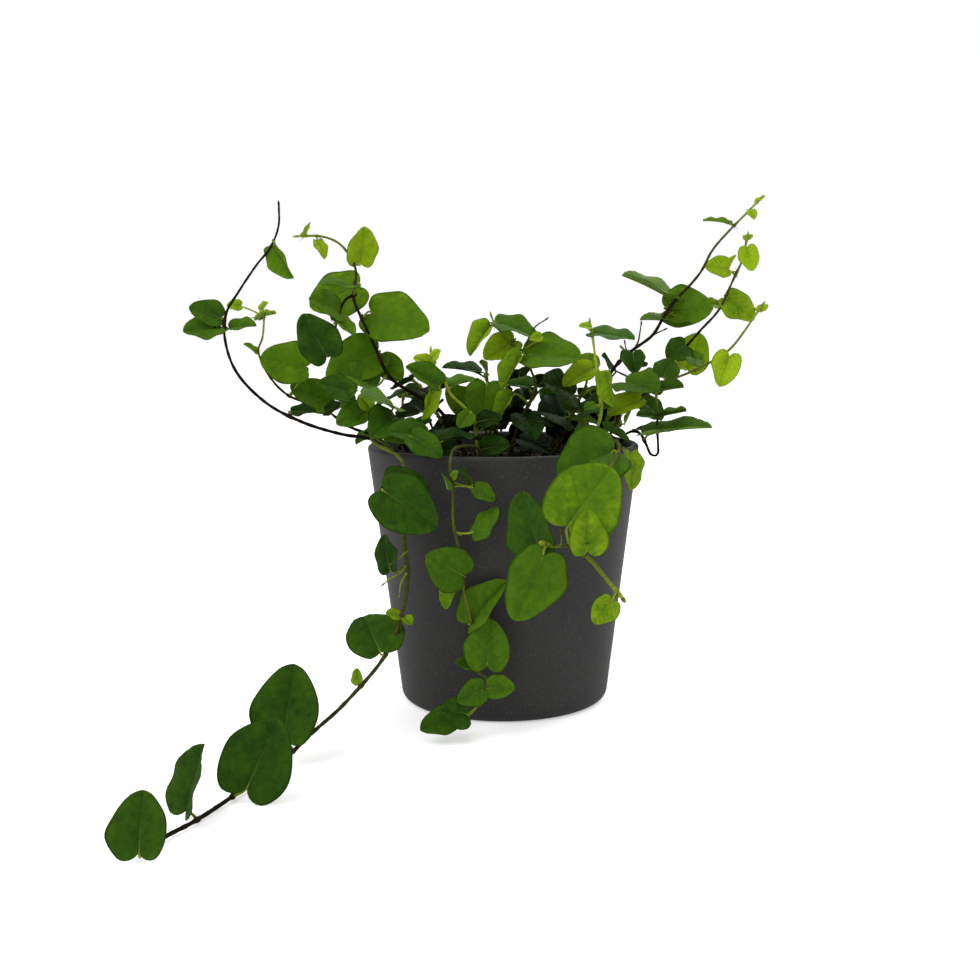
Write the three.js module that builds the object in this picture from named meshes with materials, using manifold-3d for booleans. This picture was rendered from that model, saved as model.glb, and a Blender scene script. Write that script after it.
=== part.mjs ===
// Potted creeping fig (Ficus pumila): a plain conical pot, soil and leafy stems that climb,
// arch and trail over the rim. Millimetres, +Z up, origin at the centre of the pot's underside,
// +X to the right of the front view, +Y away from it.

import * as THREE from 'three';
import Module from 'manifold-3d';
import { mergeVertices } from 'three/addons/utils/BufferGeometryUtils.js';

const wasm = await Module();
wasm.setup();

// Pot and soil.
const RIM_RADIUS = 60;
const BASE_RADIUS = 46;
const POT_HEIGHT = 114;
const POT_WALL = 3.6;
const POT_FLOOR = 6;
const FOOT_ROUND = 4;
const LIP_ROUND = 1.6;
const POT_SIDES = 36;
const GAP = 0.3;

const SOIL_TOP = 104;
const SOIL_SIDES = 24;
const SOIL_BUMP = 0.9;

// Stems.
const ROOT_END = 91.5;
const HOLE_END = 91;
const COLLAR = 108;
const STEM_SIDES = 4;
const STEM_STEP = 12;
const SAMPLE = 1.5;
const PETIOLE_RADIUS = 0.62;
const PETIOLE_ROOT = 0.4;
const LONG_PETIOLE = 7;
const BEND_BEHIND = 1.6;
const BEND_ASIDE = 0.9;
const BRANCH_RADIUS = 0.75;

// Leaves.
const BLADE_THICKNESS = 0.62;
const LEAF_HALF_WIDTH = 0.47;
const LOBE_REACH = 0.62;
const LOBE_POWER = 6;
const TIP_POWER = 1.15;
const TIP_TAPER = 0.3;
const CLEAR_BLADE = 1.6;
const CLEAR_STEM = 1.1;
const CLEAR_POT = 1.5;
const CLEAR_SOIL = 2.5;
const CLEAR_FLOOR = 1.2;
const OUTLINE_MARGIN = 1.2;
const SEAT_HALF_WIDTH = 0.8 * PETIOLE_RADIUS;
const SEAT_DROP = 0.35;

const GREEN = {
  deep: { color: 0x2f4a24, roughness: 0.42 },
  mid: { color: 0x46682c, roughness: 0.42 },
  bright: { color: 0x6b8a3c, roughness: 0.4 },
};
const POT_FINISH = { color: 0x2b2c2f, roughness: 0.72 };
const SOIL_FINISH = { color: 0x2a2019, roughness: 0.95 };

// Each shoot stands in a hole of the soil at `hole`, follows `route`, and carries `leaves`.
// A leaf row is the blade's base point, heading and rise of its length, roll about it
// (degrees), its length, and how steeply its halves fold up from the midrib (degrees).
// A `grown` row sets leaves by rule along the route: from, step, shortest and longest blade,
// and how far up the route they go.
const SHOOTS = [
  {
    name: 'stem_left_outer', hole: [-44, -8], radius: [1.1, 0.55], green: 'mid',
    route: [[-52, -6, 114], [-60, -5, 117], [-70, -9, 119], [-87, -14, 125], [-102, -18, 134],
      [-114, -20, 148], [-118, -20, 163], [-117, -19, 172], [-112, -16, 181],
      [-105, -12, 192], [-99, -9, 200], [-96, -6, 209], [-96, -4, 217]],
    leaves: [
      [-120, -20, 170, -155, 22, -70, 13, 15], [-120, -21, 166, -160, -5, -45, 15, 20],
      [-115.5, -18, 165.2, -15, 12, 30, 11.5, 25], [-97, -9, 199.5, -30, -55, 100, 16, 46],
      [-91, -12, 129, -10, 10, 30, 10, 20],
    ],
  },
  {
    name: 'stem_left_inner', hole: [-43, 14], radius: [1.0, 0.55], green: 'mid',
    route: [[-48, 13, 115], [-58, 12, 117], [-69, 14, 120], [-82, 14, 129], [-97, 12, 135],
      [-105, 10, 144], [-109, 8, 155], [-107, 8, 161], [-106, 8, 170]],
    grown: [20, 12, 11, 16, 45],
    leaves: [
      [-107, 5, 173, -45, 35, 70, 6, 20], [-110, 11, 170, -20, 12, 17, 10, 15],
      [-116, 6, 175, -155, 5, -65, 6, 15], [-110, 8, 154, -150, 45, -30, 7, 30],
      [-88, 4, 148, -175, 14, -70, 20, 15], [-80, 14, 131, -160, 32, -65, 18, 15],
      [-79, 7, 128, -30, 25, 50, 9, 20],
    ],
  },
  {
    name: 'stem_left_tall', hole: [-16, -14], radius: [1.2, 0.55], green: 'mid',
    route: [[-21, -13, 120], [-27, -12, 129], [-35, -14, 135], [-48, -18, 144], [-54, -20, 157],
      [-59, -20, 168], [-63, -18, 178], [-62, -16, 189], [-65, -14, 196], [-70, -12, 201.3],
      [-77, -10, 204], [-87, -8, 204.3]],
    branches: [[[-63, -18, 180], [-66, -22, 177], [-69.2, -24.6, 169]]],
    grown: [18, 9, 13, 18, 60],
    leaves: [
      [-84, -9, 205, -65, 45, 45, 7, 15], [-79, -10, 201.7, -30, -55, 10, 8, 20],
      [-60.6, -13, 193.3, -55, 70, 175, 15, 20], [-62.4, -10, 182.4, -165, -22, -60, 21.9, 12],
      [-63, -25, 182, -130, 5, -20, 16, 20], [-69, -25, 172, -130, 25, -60, 15, 15],
      [-70, -26, 169, -15, -38, 17, 11, 25], [-55.2, -13, 171.3, -20, -12, 56, 25.5, 12],
      [-54.4, -12.5, 154.1, -152, -24, -50, 24.6, 15], [-52.2, -13, 150.9, -10, -40, 65, 12, 15],
      [-73.4, -31, 154.4, -150, 57, -115, 19, 15], [-55, -20, 141, -150, 25, -45, 18, 20],
    ],
  },
  {
    name: 'stem_left_low', hole: [-34, -20], radius: [1.0, 0.6], green: 'deep',
    route: [[-38, -22, 113], [-43, -26, 121], [-50, -30, 127], [-57, -34, 131], [-63, -36, 134],
      [-69, -36, 137]],
    grown: [15, 6, 11, 17, 40],
    leaves: [
      [-46, -36, 133, -120, 20, -30, 20, 15], [-45, -38, 128, -115, -15, -35, 18, 15],
      [-49, -35, 124, -35, -25, 40, 13, 25], [-58, -38, 137, 0, -55, 65, 8, 25],
      [-66, -41, 135, -35, 40, 60, 9, 20], [-62, -42, 139, -162, 20, -50, 14, 15],
      [-57, -38.5, 131.3, -175, -19, -55, 13, 15],
    ],
  },
  {
    name: 'stem_front_lip', hole: [-24, -37], radius: [0.9, 0.6], green: 'deep',
    route: [[-26, -44, 116], [-32, -50, 119], [-37, -54, 119.5]],
    leaves: [
      [-36, -57, 122, -15, -30, 45, 14, 20], [-32, -49, 122, -150, 10, -40, 16, 15],
      [-24, -47, 120, 35, 5, 10, 18, 25],
    ],
  },
  {
    name: 'stem_centre_left', hole: [-10, -30], radius: [0.9, 0.5], green: 'bright',
    route: [[-11, -30, 117], [-12, -30, 126], [-16, -31, 132], [-22, -32, 138], [-25, -33, 145],
      [-29, -34, 150], [-29.7, -34, 154.8]],
    grown: [15, 6, 10, 15, 40],
    leaves: [
      [-29, -35, 153, -35, 40, 85, 5, 15], [-29, -34, 149.5, -160, 24, -50, 9, 15],
      [-27.3, -38.5, 142, -166, 34, -60, 14.6, 42], [-30, -36, 140.2, -130, -73, -85, 13.2, 50],
      [-14, -34, 129.5, -142, -42, -50, 8, 20], [-21, -30, 141, 40, 15, 10, 14, 25],
    ],
  },
  {
    name: 'stem_centre_tall', hole: [2, -12], radius: [1.1, 0.55], green: 'mid',
    route: [[4, -14, 115], [6, -14, 121], [9, -15, 128], [12, -16, 134], [14, -17, 141],
      [12, -18, 147], [10, -18, 154], [5, -19, 157], [1, -19, 161], [-3, -20, 166],
      [-4.4, -20, 169]],
    grown: [15, 6, 12, 18, 48],
    leaves: [
      [-5.4, -21, 165, -150, -47, -28, 15, 48], [-2, -16.5, 166.6, -22, -12, 20, 18.5, 20],
      [4.3, -16, 159, -157, -28, -47, 15, 20], [11, -22, 153.6, -19, -2, 36, 23, 12],
      [16, -25, 161, -150, -7, -65, 5, 15], [8, -24, 152.3, -158, -50, -25, 15.5, 50],
      [4, -22, 136, -158, -55, -25, 14, 50], [11, -11, 139, 140, 5, -15, 15, 25],
    ],
  },
  {
    name: 'stem_centre_broad', hole: [-4, 4], radius: [1.0, 0.6], green: 'deep',
    route: [[-2, 2, 113], [-4, 0, 121], [-5, -3, 129], [-6, -6, 135], [-7, -8, 143]],
    grown: [15, 6, 13, 18],
    leaves: [
      [-7, -14, 140, -103, -60, -12, 18, 10], [-11, -6, 145.5, -167, 16, -14, 15.5, 20],
      [-7, -9, 146, -110, 35, -70, 8, 20], [-14, 0, 129, -157, 42, -105, 15, 15],
    ],
  },
  {
    name: 'stem_centre_right', hole: [28, -24], radius: [1.0, 0.5], green: 'mid',
    route: [[33, -27, 114], [39, -30, 122], [41, -32, 131], [40, -33, 138], [39, -34, 147],
      [38, -35, 154], [37, -36, 161], [36, -36, 166]],
    grown: [15, 6, 11, 16, 44],
    leaves: [
      [36, -37, 165, -160, 10, -40, 5, 20], [38, -36, 162.3, -23, -4, 14, 17, 10],
      [43.6, -37.5, 145.6, -78, -77, 65, 13.3, 38], [38, -36, 133, -140, -15, -30, 6, 20],
    ],
  },
  {
    name: 'stem_right_mass', hole: [22, 2], radius: [1.0, 0.6], green: 'deep',
    route: [[25, 1, 113], [29, -4, 123], [33, -8, 133], [36, -10, 140], [37, -12, 147]],
    grown: [15, 6, 13, 18],
    leaves: [
      [38, -17, 147, -163, -24, -35, 14.5, 20], [35, -6, 146, 55, 35, 25, 12, 15],
      [30, -14, 136, -135, 20, -55, 20, 15], [26, -12, 126, -120, 15, -55, 20, 15],
      [34, -12, 128, -50, 20, 40, 18, 20], [27.6, 4, 128, -163, 40, -81, 14.5, 15],
    ],
  },
  {
    name: 'stem_right_tall', hole: [34, 2], radius: [1.2, 0.55], green: 'mid',
    route: [[39, 2, 116], [45, 2, 126], [46, 2, 135], [47, 2, 143], [52, 2, 150], [58, 2, 155],
      [66, 2, 161], [71, 3, 169], [76, 4, 176], [83, 6, 183], [88, 8, 189], [93, 10, 198],
      [100, 11, 206], [107, 12, 213], [114, 13, 220]],
    grown: [26, 9, 13, 18, 70],
    leaves: [
      [110, 11, 215, -80, -45, 5, 5, 15], [99.5, 12, 210, -170, 12, -5, 11, 20],
      [75, 8, 176.6, -168, 30, -16, 25, 20], [73.5, 8, 172.3, -19, 2, 68, 19.8, 12],
      [80.1, 7, 166.1, -173, 13, -12, 19.3, 15], [57, -1, 153, -90, -35, 0, 12, 20],
      [113, 13, 219, 30, 40, 0, 5, 20],
    ],
  },
  {
    name: 'stem_right_mid', hole: [39, 18], radius: [1.1, 0.55], green: 'mid',
    route: [[43, 19, 116], [54, 20, 126], [63, 20, 133], [69, 20, 139], [75, 20, 147],
      [82, 20, 154], [90, 20, 163], [98, 20, 172], [104, 20, 185], [108, 20, 194],
      [110, 20, 204]],
    grown: [26, 12, 13, 18, 60],
    leaves: [
      [109.5, 17, 199, -40, -72, 48, 10.3, 12], [102, 23, 177, -21, -34, 56, 15.5, 15],
      [100.7, 16, 190, -158, 9, -75, 10.8, 15], [102, 20, 191, -25, 63, 33, 6, 30],
      [98, 23, 174, -150, 5, -40, 8, 25], [82, 15, 155.8, -140, -20, -55, 12.3, 12],
      [84.5, 25, 146, -4, 68, 92, 16.5, 12], [84, 16, 151, -55, -10, 20, 9, 25],
      [110, 20, 203, 70, 40, 0, 5, 20],
    ],
  },
  {
    name: 'stem_right_low', hole: [40, -12], radius: [1.0, 0.55], green: 'bright',
    route: [[44, -12, 114], [49, -11, 123], [54, -10, 131], [61, -10, 135], [71, -10, 141],
      [83, -10, 146], [89, -10, 149], [98, -10, 155], [107, -10, 167], [111, -10, 173]],
    grown: [16, 8, 11, 16, 36],
    leaves: [
      [97, -14, 152, -130, -60, -40, 14, 20], [66, -14, 137, -35, 15, 20, 13, 30],
      [70, -6, 143, 60, 40, 30, 12, 15], [53, -14, 141, -55, -5, 25, 20, 15],
      [58.3, -17, 133.7, -170, -19, -32, 15, 20], [111, -10, 171, 60, 30, 0, 6, 20],
      [83, -7, 148, 80, 20, 20, 9, 20], [52.4, -19, 124.5, -60, 58, 60, 6.5, 15],
    ],
  },
  {
    name: 'stem_right_side', hole: [51, 4], radius: [1.0, 0.55], green: 'mid',
    route: [[52, 4, 113], [56, 4, 118], [60.5, 3, 118], [63.5, 2, 113], [66, 2, 108],
      [68.6, 2, 108], [69, 3, 113], [68.5, 3, 120], [68.8, 4, 128], [68, 5, 136]],
    leaves: [
      [64, -3, 117.7, -20, 14, 8, 28, 18], [67, 9, 119, 125, -5, -15, 12, 20],
      [70.3, 2, 125.5, -30, 14, 7, 12, 25], [67.2, 1.5, 125, -155, 12, -28, 9, 20],
      [68, 5, 135, 80, 40, 10, 7, 20],
    ],
  },
  {
    name: 'stem_trail_left', hole: [-44, -21], radius: [1.1, 0.5], green: 'deep',
    route: [[-49, -24, 115], [-54, -28, 119.5], [-55, -33, 119], [-52, -38, 117],
      [-48, -43, 116], [-43, -49, 114], [-40, -55, 111], [-39, -58, 104], [-40, -57, 92],
      [-40, -57, 79], [-39, -56, 67], [-40, -57, 56], [-42, -59, 48], [-45, -62, 40],
      [-50, -67, 32], [-58, -70, 23], [-66, -73, 15], [-74, -84, 10], [-82, -98, 5],
      [-90, -114, 2.5], [-97, -133, 1.6], [-105, -155, 1.6], [-111, -167, 1.7],
      [-115, -178, 2]],
    leaves: [
      [-46, -57, 104, -15, -10, 70, 17, 15], [-47, -63, 101, -5, -35, 75, 25, 22],
      [-46, -58, 69, 140, 70, -90, 14, 15], [-43, -60, 50, -140, 20, -55, 6, 20],
      [-40, -60, 49, -50, -25, 25, 5, 20], [-50, -66, 37, 115, 30, -15, 25, 12],
      [-58, -70, 25, 120, 60, -60, 6, 20], [-84, -95, 12, 75, 70, 15, 27, 20],
      [-91, -134, 5.5, 40, 60, 50, 26, 15], [-107.5, -153, 5.5, 55, 71, -17, 22, 24],
      [-115, -185, 4, 93, 65, 0, 19, 15],
    ],
  },
  {
    name: 'stem_trail_front', hole: [-8, -40], radius: [0.85, 0.6], green: 'deep',
    route: [[-10, -45, 116], [-16, -53, 118], [-20, -60, 117], [-21, -64, 111], [-20, -63, 104],
      [-20, -62, 97], [-20, -61, 88], [-18, -60, 77], [-17, -60, 67], [-16, -60, 59],
      [-14, -60, 51], [-13, -59, 44], [-14, -58, 35], [-15, -58, 30], [-11, -58, 26],
      [-7, -59, 23], [-8, -60, 18], [-10, -62, 14], [-14, -63, 10], [-20, -64, 6]],
    leaves: [
      [-20, -67, 107, -45, 45, 90, 4, 15], [-22, -66, 103, -100, 55, -50, 8, 20],
      [-11, -66, 102.5, -10, -27, 45, 9, 20], [-12.5, -64, 105, -160, 55, -168, 7, 20],
      [-12, -64, 85, -17, 50, 45, 14, -18], [-17, -62, 67, -140, 30, -100, 19, 10],
      [-22, -61, 62, -130, -68, 0, 9, 8], [-13, -56.5, 46.5, -14, 54, 60, 22, 40],
      [-7, -62, 30, 0, 86, 94, 19, 15], [-13, -60, 29, -150, 20, -45, 8, 20],
      [-6, -63, 20.5, -15, 5, 60, 10.5, 15], [-9, -64, 20, -140, -10, -70, 12, 15],
      [-16, -67, 11, -135, 20, -65, 14, 20], [-21, -66, 8, -155, -5, -35, 14, 20],
    ],
  },
  {
    name: 'stem_trail_right', hole: [34, -34], radius: [1.05, 0.75], green: 'bright',
    route: [[38, -38, 113], [44, -45, 119], [46, -55, 119], [45, -68, 117], [40, -86, 112],
      [34, -104, 105], [29, -116, 96], [25, -122, 89], [30, -123, 85], [35, -122, 79],
      [42, -118, 70]],
    branches: [[[26, -120, 91], [20, -121, 89], [15, -122, 90]]],
    leaves: [
      [42, -72, 117, -140, -12, -50, 27, 15], [23, -124, 97.5, 32, 47, 50, 27, 12],
      [13, -116, 86, 160, 72, -115, 23, 12], [13.5, -126, 86, -155, -65, -90, 24, 15],
      [29, -127, 89, -90, 70, 180, 15, 18], [38, -121, 69, -155, -45, -50, 10, 15],
      [50, -62, 115, -80, -80, -40, 14, 15],
    ],
  },
  {
    name: 'stem_inner_left', hole: [-25, 3], radius: [1.0, 0.6], green: 'deep',
    route: [[-25, 4, 114], [-28, 5, 124], [-33, 6, 134], [-40, 8, 142]],
    grown: [18, 8, 15, 22],
  },
  {
    name: 'stem_inner_back', hole: [-8, 20], radius: [1.0, 0.6], green: 'mid',
    route: [[-7, 22, 114], [-3, 26, 122], [3, 28, 130], [10, 28, 136]],
    grown: [16, 7, 15, 22],
  },
  {
    name: 'stem_inner_mid', hole: [12, 10], radius: [1.0, 0.6], green: 'deep',
    route: [[13, 11, 114], [14, 14, 122], [19, 17, 130], [26, 18, 137]],
    grown: [16, 7, 15, 22],
  },
  {
    name: 'stem_inner_right', hole: [22, 24], radius: [1.0, 0.6], green: 'deep',
    route: [[24, 26, 115], [29, 29, 124], [36, 31, 132], [45, 33, 138]],
    grown: [18, 8, 15, 22],
  },
  {
    name: 'stem_back_left', hole: [-30, 28], radius: [1.0, 0.6], green: 'mid',
    route: [[-32, 31, 115], [-36, 36, 124], [-42, 42, 131], [-47, 50, 132], [-49, 59, 127],
      [-49, 66, 117], [-47, 69, 104], [-45, 68, 91], [-43, 67, 78], [-42, 66, 66]],
    grown: [20, 14, 14, 24],
  },
  {
    name: 'stem_back_mid', hole: [-4, 38], radius: [1.1, 0.6], green: 'deep',
    route: [[-4, 42, 115], [-3, 50, 120], [-2, 59, 120], [-1, 66, 114], [-1, 68, 102],
      [-3, 66, 89], [-4, 64, 76], [-3, 62, 63], [-1, 60, 50], [1, 59, 38], [2, 60, 26],
      [4, 64, 15]],
    grown: [22, 14, 13, 24],
  },
  {
    name: 'stem_back_right', hole: [20, 40], radius: [1.0, 0.6], green: 'mid',
    route: [[22, 43, 115], [27, 48, 122], [33, 55, 125], [39, 62, 121], [42, 67, 112],
      [43, 68, 100], [42, 66, 88], [40, 64, 77]],
    grown: [20, 10, 14, 23],
  },
  {
    name: 'stem_back_up', hole: [4, 30], radius: [1.0, 0.6], green: 'mid',
    route: [[6, 33, 116], [11, 38, 126], [17, 43, 134], [25, 48, 139]],
    grown: [19, 9, 15, 22],
  },
];

// Small tools.
const rad = (degrees) => (degrees * Math.PI) / 180;

class Draw {
  constructor(seed) {
    this.state = seed;
  }

  next() {
    this.state = (this.state * 16807) % 2147483647;
    return this.state / 2147483647;
  }

  between(low, high) {
    return low + (high - low) * this.next();
  }
}

function solidOf(geometry) {
  const bare = new THREE.BufferGeometry();
  bare.setAttribute('position', geometry.getAttribute('position').clone());
  if (geometry.index) bare.setIndex(geometry.index.clone());
  const welded = mergeVertices(bare, 1e-4);
  const index = Array.from(welded.index.array);
  const faces = [];
  for (let i = 0; i < index.length; i += 3) {
    const [a, b, c] = index.slice(i, i + 3);
    if (a !== b && b !== c && c !== a) faces.push(a, b, c);
  }
  return new wasm.Manifold(new wasm.Mesh({
    numProp: 3,
    vertProperties: new Float32Array(welded.getAttribute('position').array),
    triVerts: new Uint32Array(faces),
  }));
}

function geometryOf(solid) {
  const mesh = solid.getMesh();
  const geometry = new THREE.BufferGeometry();
  geometry.setAttribute('position', new THREE.BufferAttribute(mesh.vertProperties, 3));
  geometry.setIndex(new THREE.BufferAttribute(mesh.triVerts, 1));
  geometry.computeVertexNormals();
  return geometry;
}

function lathe(profile, sides) {
  const points = profile.map(([r, z]) => new THREE.Vector2(r, z));
  return new THREE.LatheGeometry(points, sides).rotateX(Math.PI / 2);
}

function arc(centre, radius, from, to, steps) {
  const points = [];
  for (let i = 0; i <= steps; i += 1) {
    const t = rad(from + ((to - from) * i) / steps);
    points.push([centre[0] + radius * Math.cos(t), centre[1] + radius * Math.sin(t)]);
  }
  return points;
}

const smoothPath = (points) => new THREE.CatmullRomCurve3(
  points.map((p) => new THREE.Vector3(...p)),
);

const stepsAlong = (path, step) => Math.max(1, Math.round(path.getLength() / step));

// A round tube of few sides along a smooth path, narrowing from one radius to the other.
function tube(points, radii, sides, step) {
  const path = smoothPath(points);
  const steps = stepsAlong(path, step);
  const ring = [];
  for (let i = 0; i < sides; i += 1) {
    const t = (2 * Math.PI * i) / sides;
    ring.push(new THREE.Vector2(Math.cos(t), Math.sin(t)));
  }
  const geometry = new THREE.ExtrudeGeometry(new THREE.Shape(ring), {
    steps, bevelEnabled: false, extrudePath: path,
  });
  const stations = path.getSpacedPoints(steps);
  const place = geometry.getAttribute('position');
  const vertex = new THREE.Vector3();
  for (let i = 0; i < place.count; i += 1) {
    vertex.fromBufferAttribute(place, i);
    let best = 0;
    stations.forEach((station, k) => {
      if (station.distanceTo(vertex) < stations[best].distanceTo(vertex)) best = k;
    });
    const radius = radii[0] + ((radii[1] - radii[0]) * best) / steps;
    vertex.sub(stations[best]).multiplyScalar(radius).add(stations[best]);
    place.setXYZ(i, vertex.x, vertex.y, vertex.z);
  }
  return geometry;
}

// Pot and soil shapes.
const outerAt = (z) => BASE_RADIUS + ((RIM_RADIUS - BASE_RADIUS) * z) / POT_HEIGHT;
const innerAt = (z) => outerAt(z) - POT_WALL;

function potGeometry() {
  const slope = (Math.atan2(RIM_RADIUS - BASE_RADIUS, POT_HEIGHT) * 180) / Math.PI;
  const lipTop = POT_HEIGHT - LIP_ROUND;
  const profile = [
    [0, 0],
    ...arc([BASE_RADIUS - FOOT_ROUND + 0.4, FOOT_ROUND], FOOT_ROUND, -90, -slope, 3),
    ...arc([outerAt(lipTop) - LIP_ROUND, lipTop], LIP_ROUND, -slope, 90, 3),
    ...arc([innerAt(lipTop) + LIP_ROUND, lipTop], LIP_ROUND, 90, 180 - slope, 2),
    [innerAt(POT_FLOOR + 3), POT_FLOOR + 3],
    [innerAt(POT_FLOOR) - 3, POT_FLOOR],
    [0, POT_FLOOR],
  ];
  return lathe(profile, POT_SIDES);
}

function soilBump(x, y) {
  return SOIL_BUMP * (Math.sin(0.31 * x + 0.7) * Math.cos(0.27 * y) + 0.5 * Math.sin(0.6 * y));
}

function soilGeometry() {
  const floor = POT_FLOOR + GAP;
  const edge = innerAt(SOIL_TOP) - GAP - 0.1;
  const profile = [
    [0, floor], [innerAt(floor) - 3.6, floor], [innerAt(floor + 3) - 0.45, floor + 3],
    [edge, SOIL_TOP - 1.5], [edge - 7, SOIL_TOP], [32, SOIL_TOP], [14, SOIL_TOP],
    [0, SOIL_TOP],
  ];
  const geometry = lathe(profile, SOIL_SIDES);
  const place = geometry.getAttribute('position');
  for (let i = 0; i < place.count; i += 1) {
    const x = place.getX(i);
    const y = place.getY(i);
    if (place.getZ(i) > SOIL_TOP - 1) place.setZ(i, SOIL_TOP + soilBump(x, y));
  }
  return geometry;
}

function stemHole([x, y], radius) {
  const wide = (radius + GAP) / Math.cos(Math.PI / 6) + 0.15;
  return tube([[x, y, HOLE_END], [x, y, SOIL_TOP + 4]], [wide, wide], 6, 100);
}

// Leaf form.
// A blade's frame: `along` from base to tip, `across` to its right, `up` off its upper face.
class Blade {
  constructor(base, along, up, length, fold, wave) {
    this.base = base;
    this.along = along;
    this.up = up;
    this.across = along.clone().cross(up);
    this.length = length;
    this.half = LEAF_HALF_WIDTH * length * (0.96 + 0.12 * wave) * Math.cos(rad(fold));
    this.slope = Math.tan(rad(fold));
    this.droop = 0.1 + 0.08 * Math.sin(7 * wave);
    this.phase = 6.3 * wave;
    this.ripple = Math.min(0.045 * length, 0.9);
  }

  // Height of the blade's middle surface over its flat frame.
  height(a, b) {
    const t = a / this.length;
    const w = Math.abs(b) / this.half;
    const side = b < 0 ? 1.9 : 0;
    const waves = this.ripple * w * w * Math.sin(9.5 * t + this.phase + side);
    return this.slope * Math.abs(b) * (1 - 0.25 * w) - this.droop * this.length * t * t + waves;
  }

  // Margin point at `turn` degrees round from the tip (0) to the notch at the base (180).
  margin(turn, side) {
    const c = Math.cos(rad(turn));
    const s = Math.sin(rad(turn));
    const lobe = LOBE_REACH * s * ((1 - c) / 2) ** LOBE_POWER;
    const along = this.length * (0.5 * (1 + c) - lobe);
    const power = TIP_POWER - (TIP_POWER - 1) * (turn / 180);
    const width = this.half * s ** power * (0.96 - TIP_TAPER * c);
    const skew = 1 + 0.06 * side * Math.sin(this.phase);
    return [along, side * skew * width];
  }

  world(a, b, offset = 0) {
    return this.base.clone()
      .addScaledVector(this.along, a)
      .addScaledVector(this.across, b)
      .addScaledVector(this.up, this.height(a, b) + offset);
  }

  // The same blade's flat coordinates of a point in the room.
  local(point) {
    const d = point.clone().sub(this.base);
    return [d.dot(this.along), d.dot(this.across), d.dot(this.up)];
  }

  halfWidthAt(a) {
    const t = Math.min(Math.max(a / this.length, 0), 1);
    return this.half * Math.min(1, 1.38 * Math.sqrt(1 - t));
  }

  // Signed distance off the blade's surface, or null outside its outline.
  gap(point) {
    const [a, b, c] = this.local(point);
    if (a < -0.16 * this.length - OUTLINE_MARGIN || a > this.length + OUTLINE_MARGIN) return null;
    if (Math.abs(b) > this.halfWidthAt(a) + OUTLINE_MARGIN) return null;
    return (c - this.height(a, b)) / Math.hypot(1, this.slope);
  }
}

function rowBlade([x, y, z, heading, rise, roll, length, fold], wave) {
  const h = rad(heading);
  const r = rad(rise);
  const along = new THREE.Vector3(
    Math.cos(r) * Math.cos(h),
    Math.cos(r) * Math.sin(h),
    Math.sin(r),
  );
  const flat = new THREE.Vector3(
    -Math.sin(r) * Math.cos(h),
    -Math.sin(r) * Math.sin(h),
    Math.cos(r),
  );
  const side = along.clone().cross(flat);
  const up = flat.multiplyScalar(Math.cos(rad(roll))).addScaledVector(side, Math.sin(rad(roll)));
  return new Blade(new THREE.Vector3(x, y, z), along, up, length, fold, wave);
}

// Margin points and midrib points that a blade of this length is drawn with.
function bladeSteps(length) {
  if (length > 24) return { turns: [30, 62, 98, 132, 157], ribs: [0.7, 0.42, 0.16] };
  if (length > 20) return { turns: [34, 76, 120, 154], ribs: [0.62, 0.28] };
  if (length > 7) return { turns: [42, 98, 150], ribs: [0.45] };
  return { turns: [55, 130], ribs: [0.45] };
}

// A leaf as one closed skin: the blade's two faces split into the same triangles, the rim
// between them, and a three-sided petiole from the notch back to the stem's axis.
function leafGeometry(blade, start) {
  const { turns, ribs } = bladeSteps(blade.length);
  const half = (BLADE_THICKNESS / 2) * Math.hypot(1, blade.slope);
  const points = [];
  const index = [];
  const put = (point) => points.push(point) - 1;
  const pair = (a, b) => [put(blade.world(a, b, half)), put(blade.world(a, b, -half))];
  const tip = pair(blade.length, 0);
  const spine = ribs.map((t) => pair(t * blade.length, 0));
  const seatRight = put(blade.world(0, SEAT_HALF_WIDTH, half));
  const seatLeft = put(blade.world(0, -SEAT_HALF_WIDTH, half));
  const seatUnder = put(blade.world(0, 0, -half - SEAT_DROP));

  [1, -1].forEach((side) => {
    const margin = turns.map((turn) => pair(...blade.margin(turn, side)));
    const edge = [tip, ...margin, [side > 0 ? seatRight : seatLeft, seatUnder]];
    const add = (a, b, c) => index.push(a, side > 0 ? b : c, side > 0 ? c : b);
    const bothFaces = (p, q, r) => {
      add(p[0], q[0], r[0]);
      add(p[1], r[1], q[1]);
    };
    let k = 0;
    for (let i = 0; i < edge.length - 1; i += 1) {
      const reach = i === 0 ? 1 : blade.margin(turns[i - 1], side)[0] / blade.length;
      while (k < ribs.length - 1 && i > 0 && reach < (ribs[k] + ribs[k + 1]) / 2) {
        bothFaces(spine[k], spine[k + 1], edge[i]);
        k += 1;
      }
      bothFaces(spine[k], edge[i + 1], edge[i]);
      add(edge[i][0], edge[i + 1][0], edge[i + 1][1]);
      add(edge[i][0], edge[i + 1][1], edge[i][1]);
    }
  });
  index.push(spine[ribs.length - 1][0], seatLeft, seatRight);

  let ring = [seatRight, seatLeft, seatUnder];
  petioleRoute(start, blade).slice(1).forEach(({ centre, tangent }, i, rest) => {
    const radius = i === rest.length - 1 ? PETIOLE_ROOT : PETIOLE_RADIUS;
    const u = blade.across.clone().addScaledVector(tangent, -blade.across.dot(tangent)).normalize();
    const v = tangent.clone().cross(u);
    const next = [[0.87, 0.5], [-0.87, 0.5], [0, -1]].map(([x, y]) => put(centre.clone()
      .addScaledVector(u, x * radius).addScaledVector(v, y * radius)));
    for (let k = 0; k < 3; k += 1) {
      const j = (k + 1) % 3;
      index.push(ring[k], ring[j], next[j], ring[k], next[j], next[k]);
    }
    ring = next;
  });
  index.push(...ring);

  const geometry = new THREE.BufferGeometry();
  const flat = points.flatMap((point) => point.toArray());
  geometry.setAttribute('position', new THREE.Float32BufferAttribute(flat, 3));
  geometry.setIndex(index);
  return geometry;
}

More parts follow.
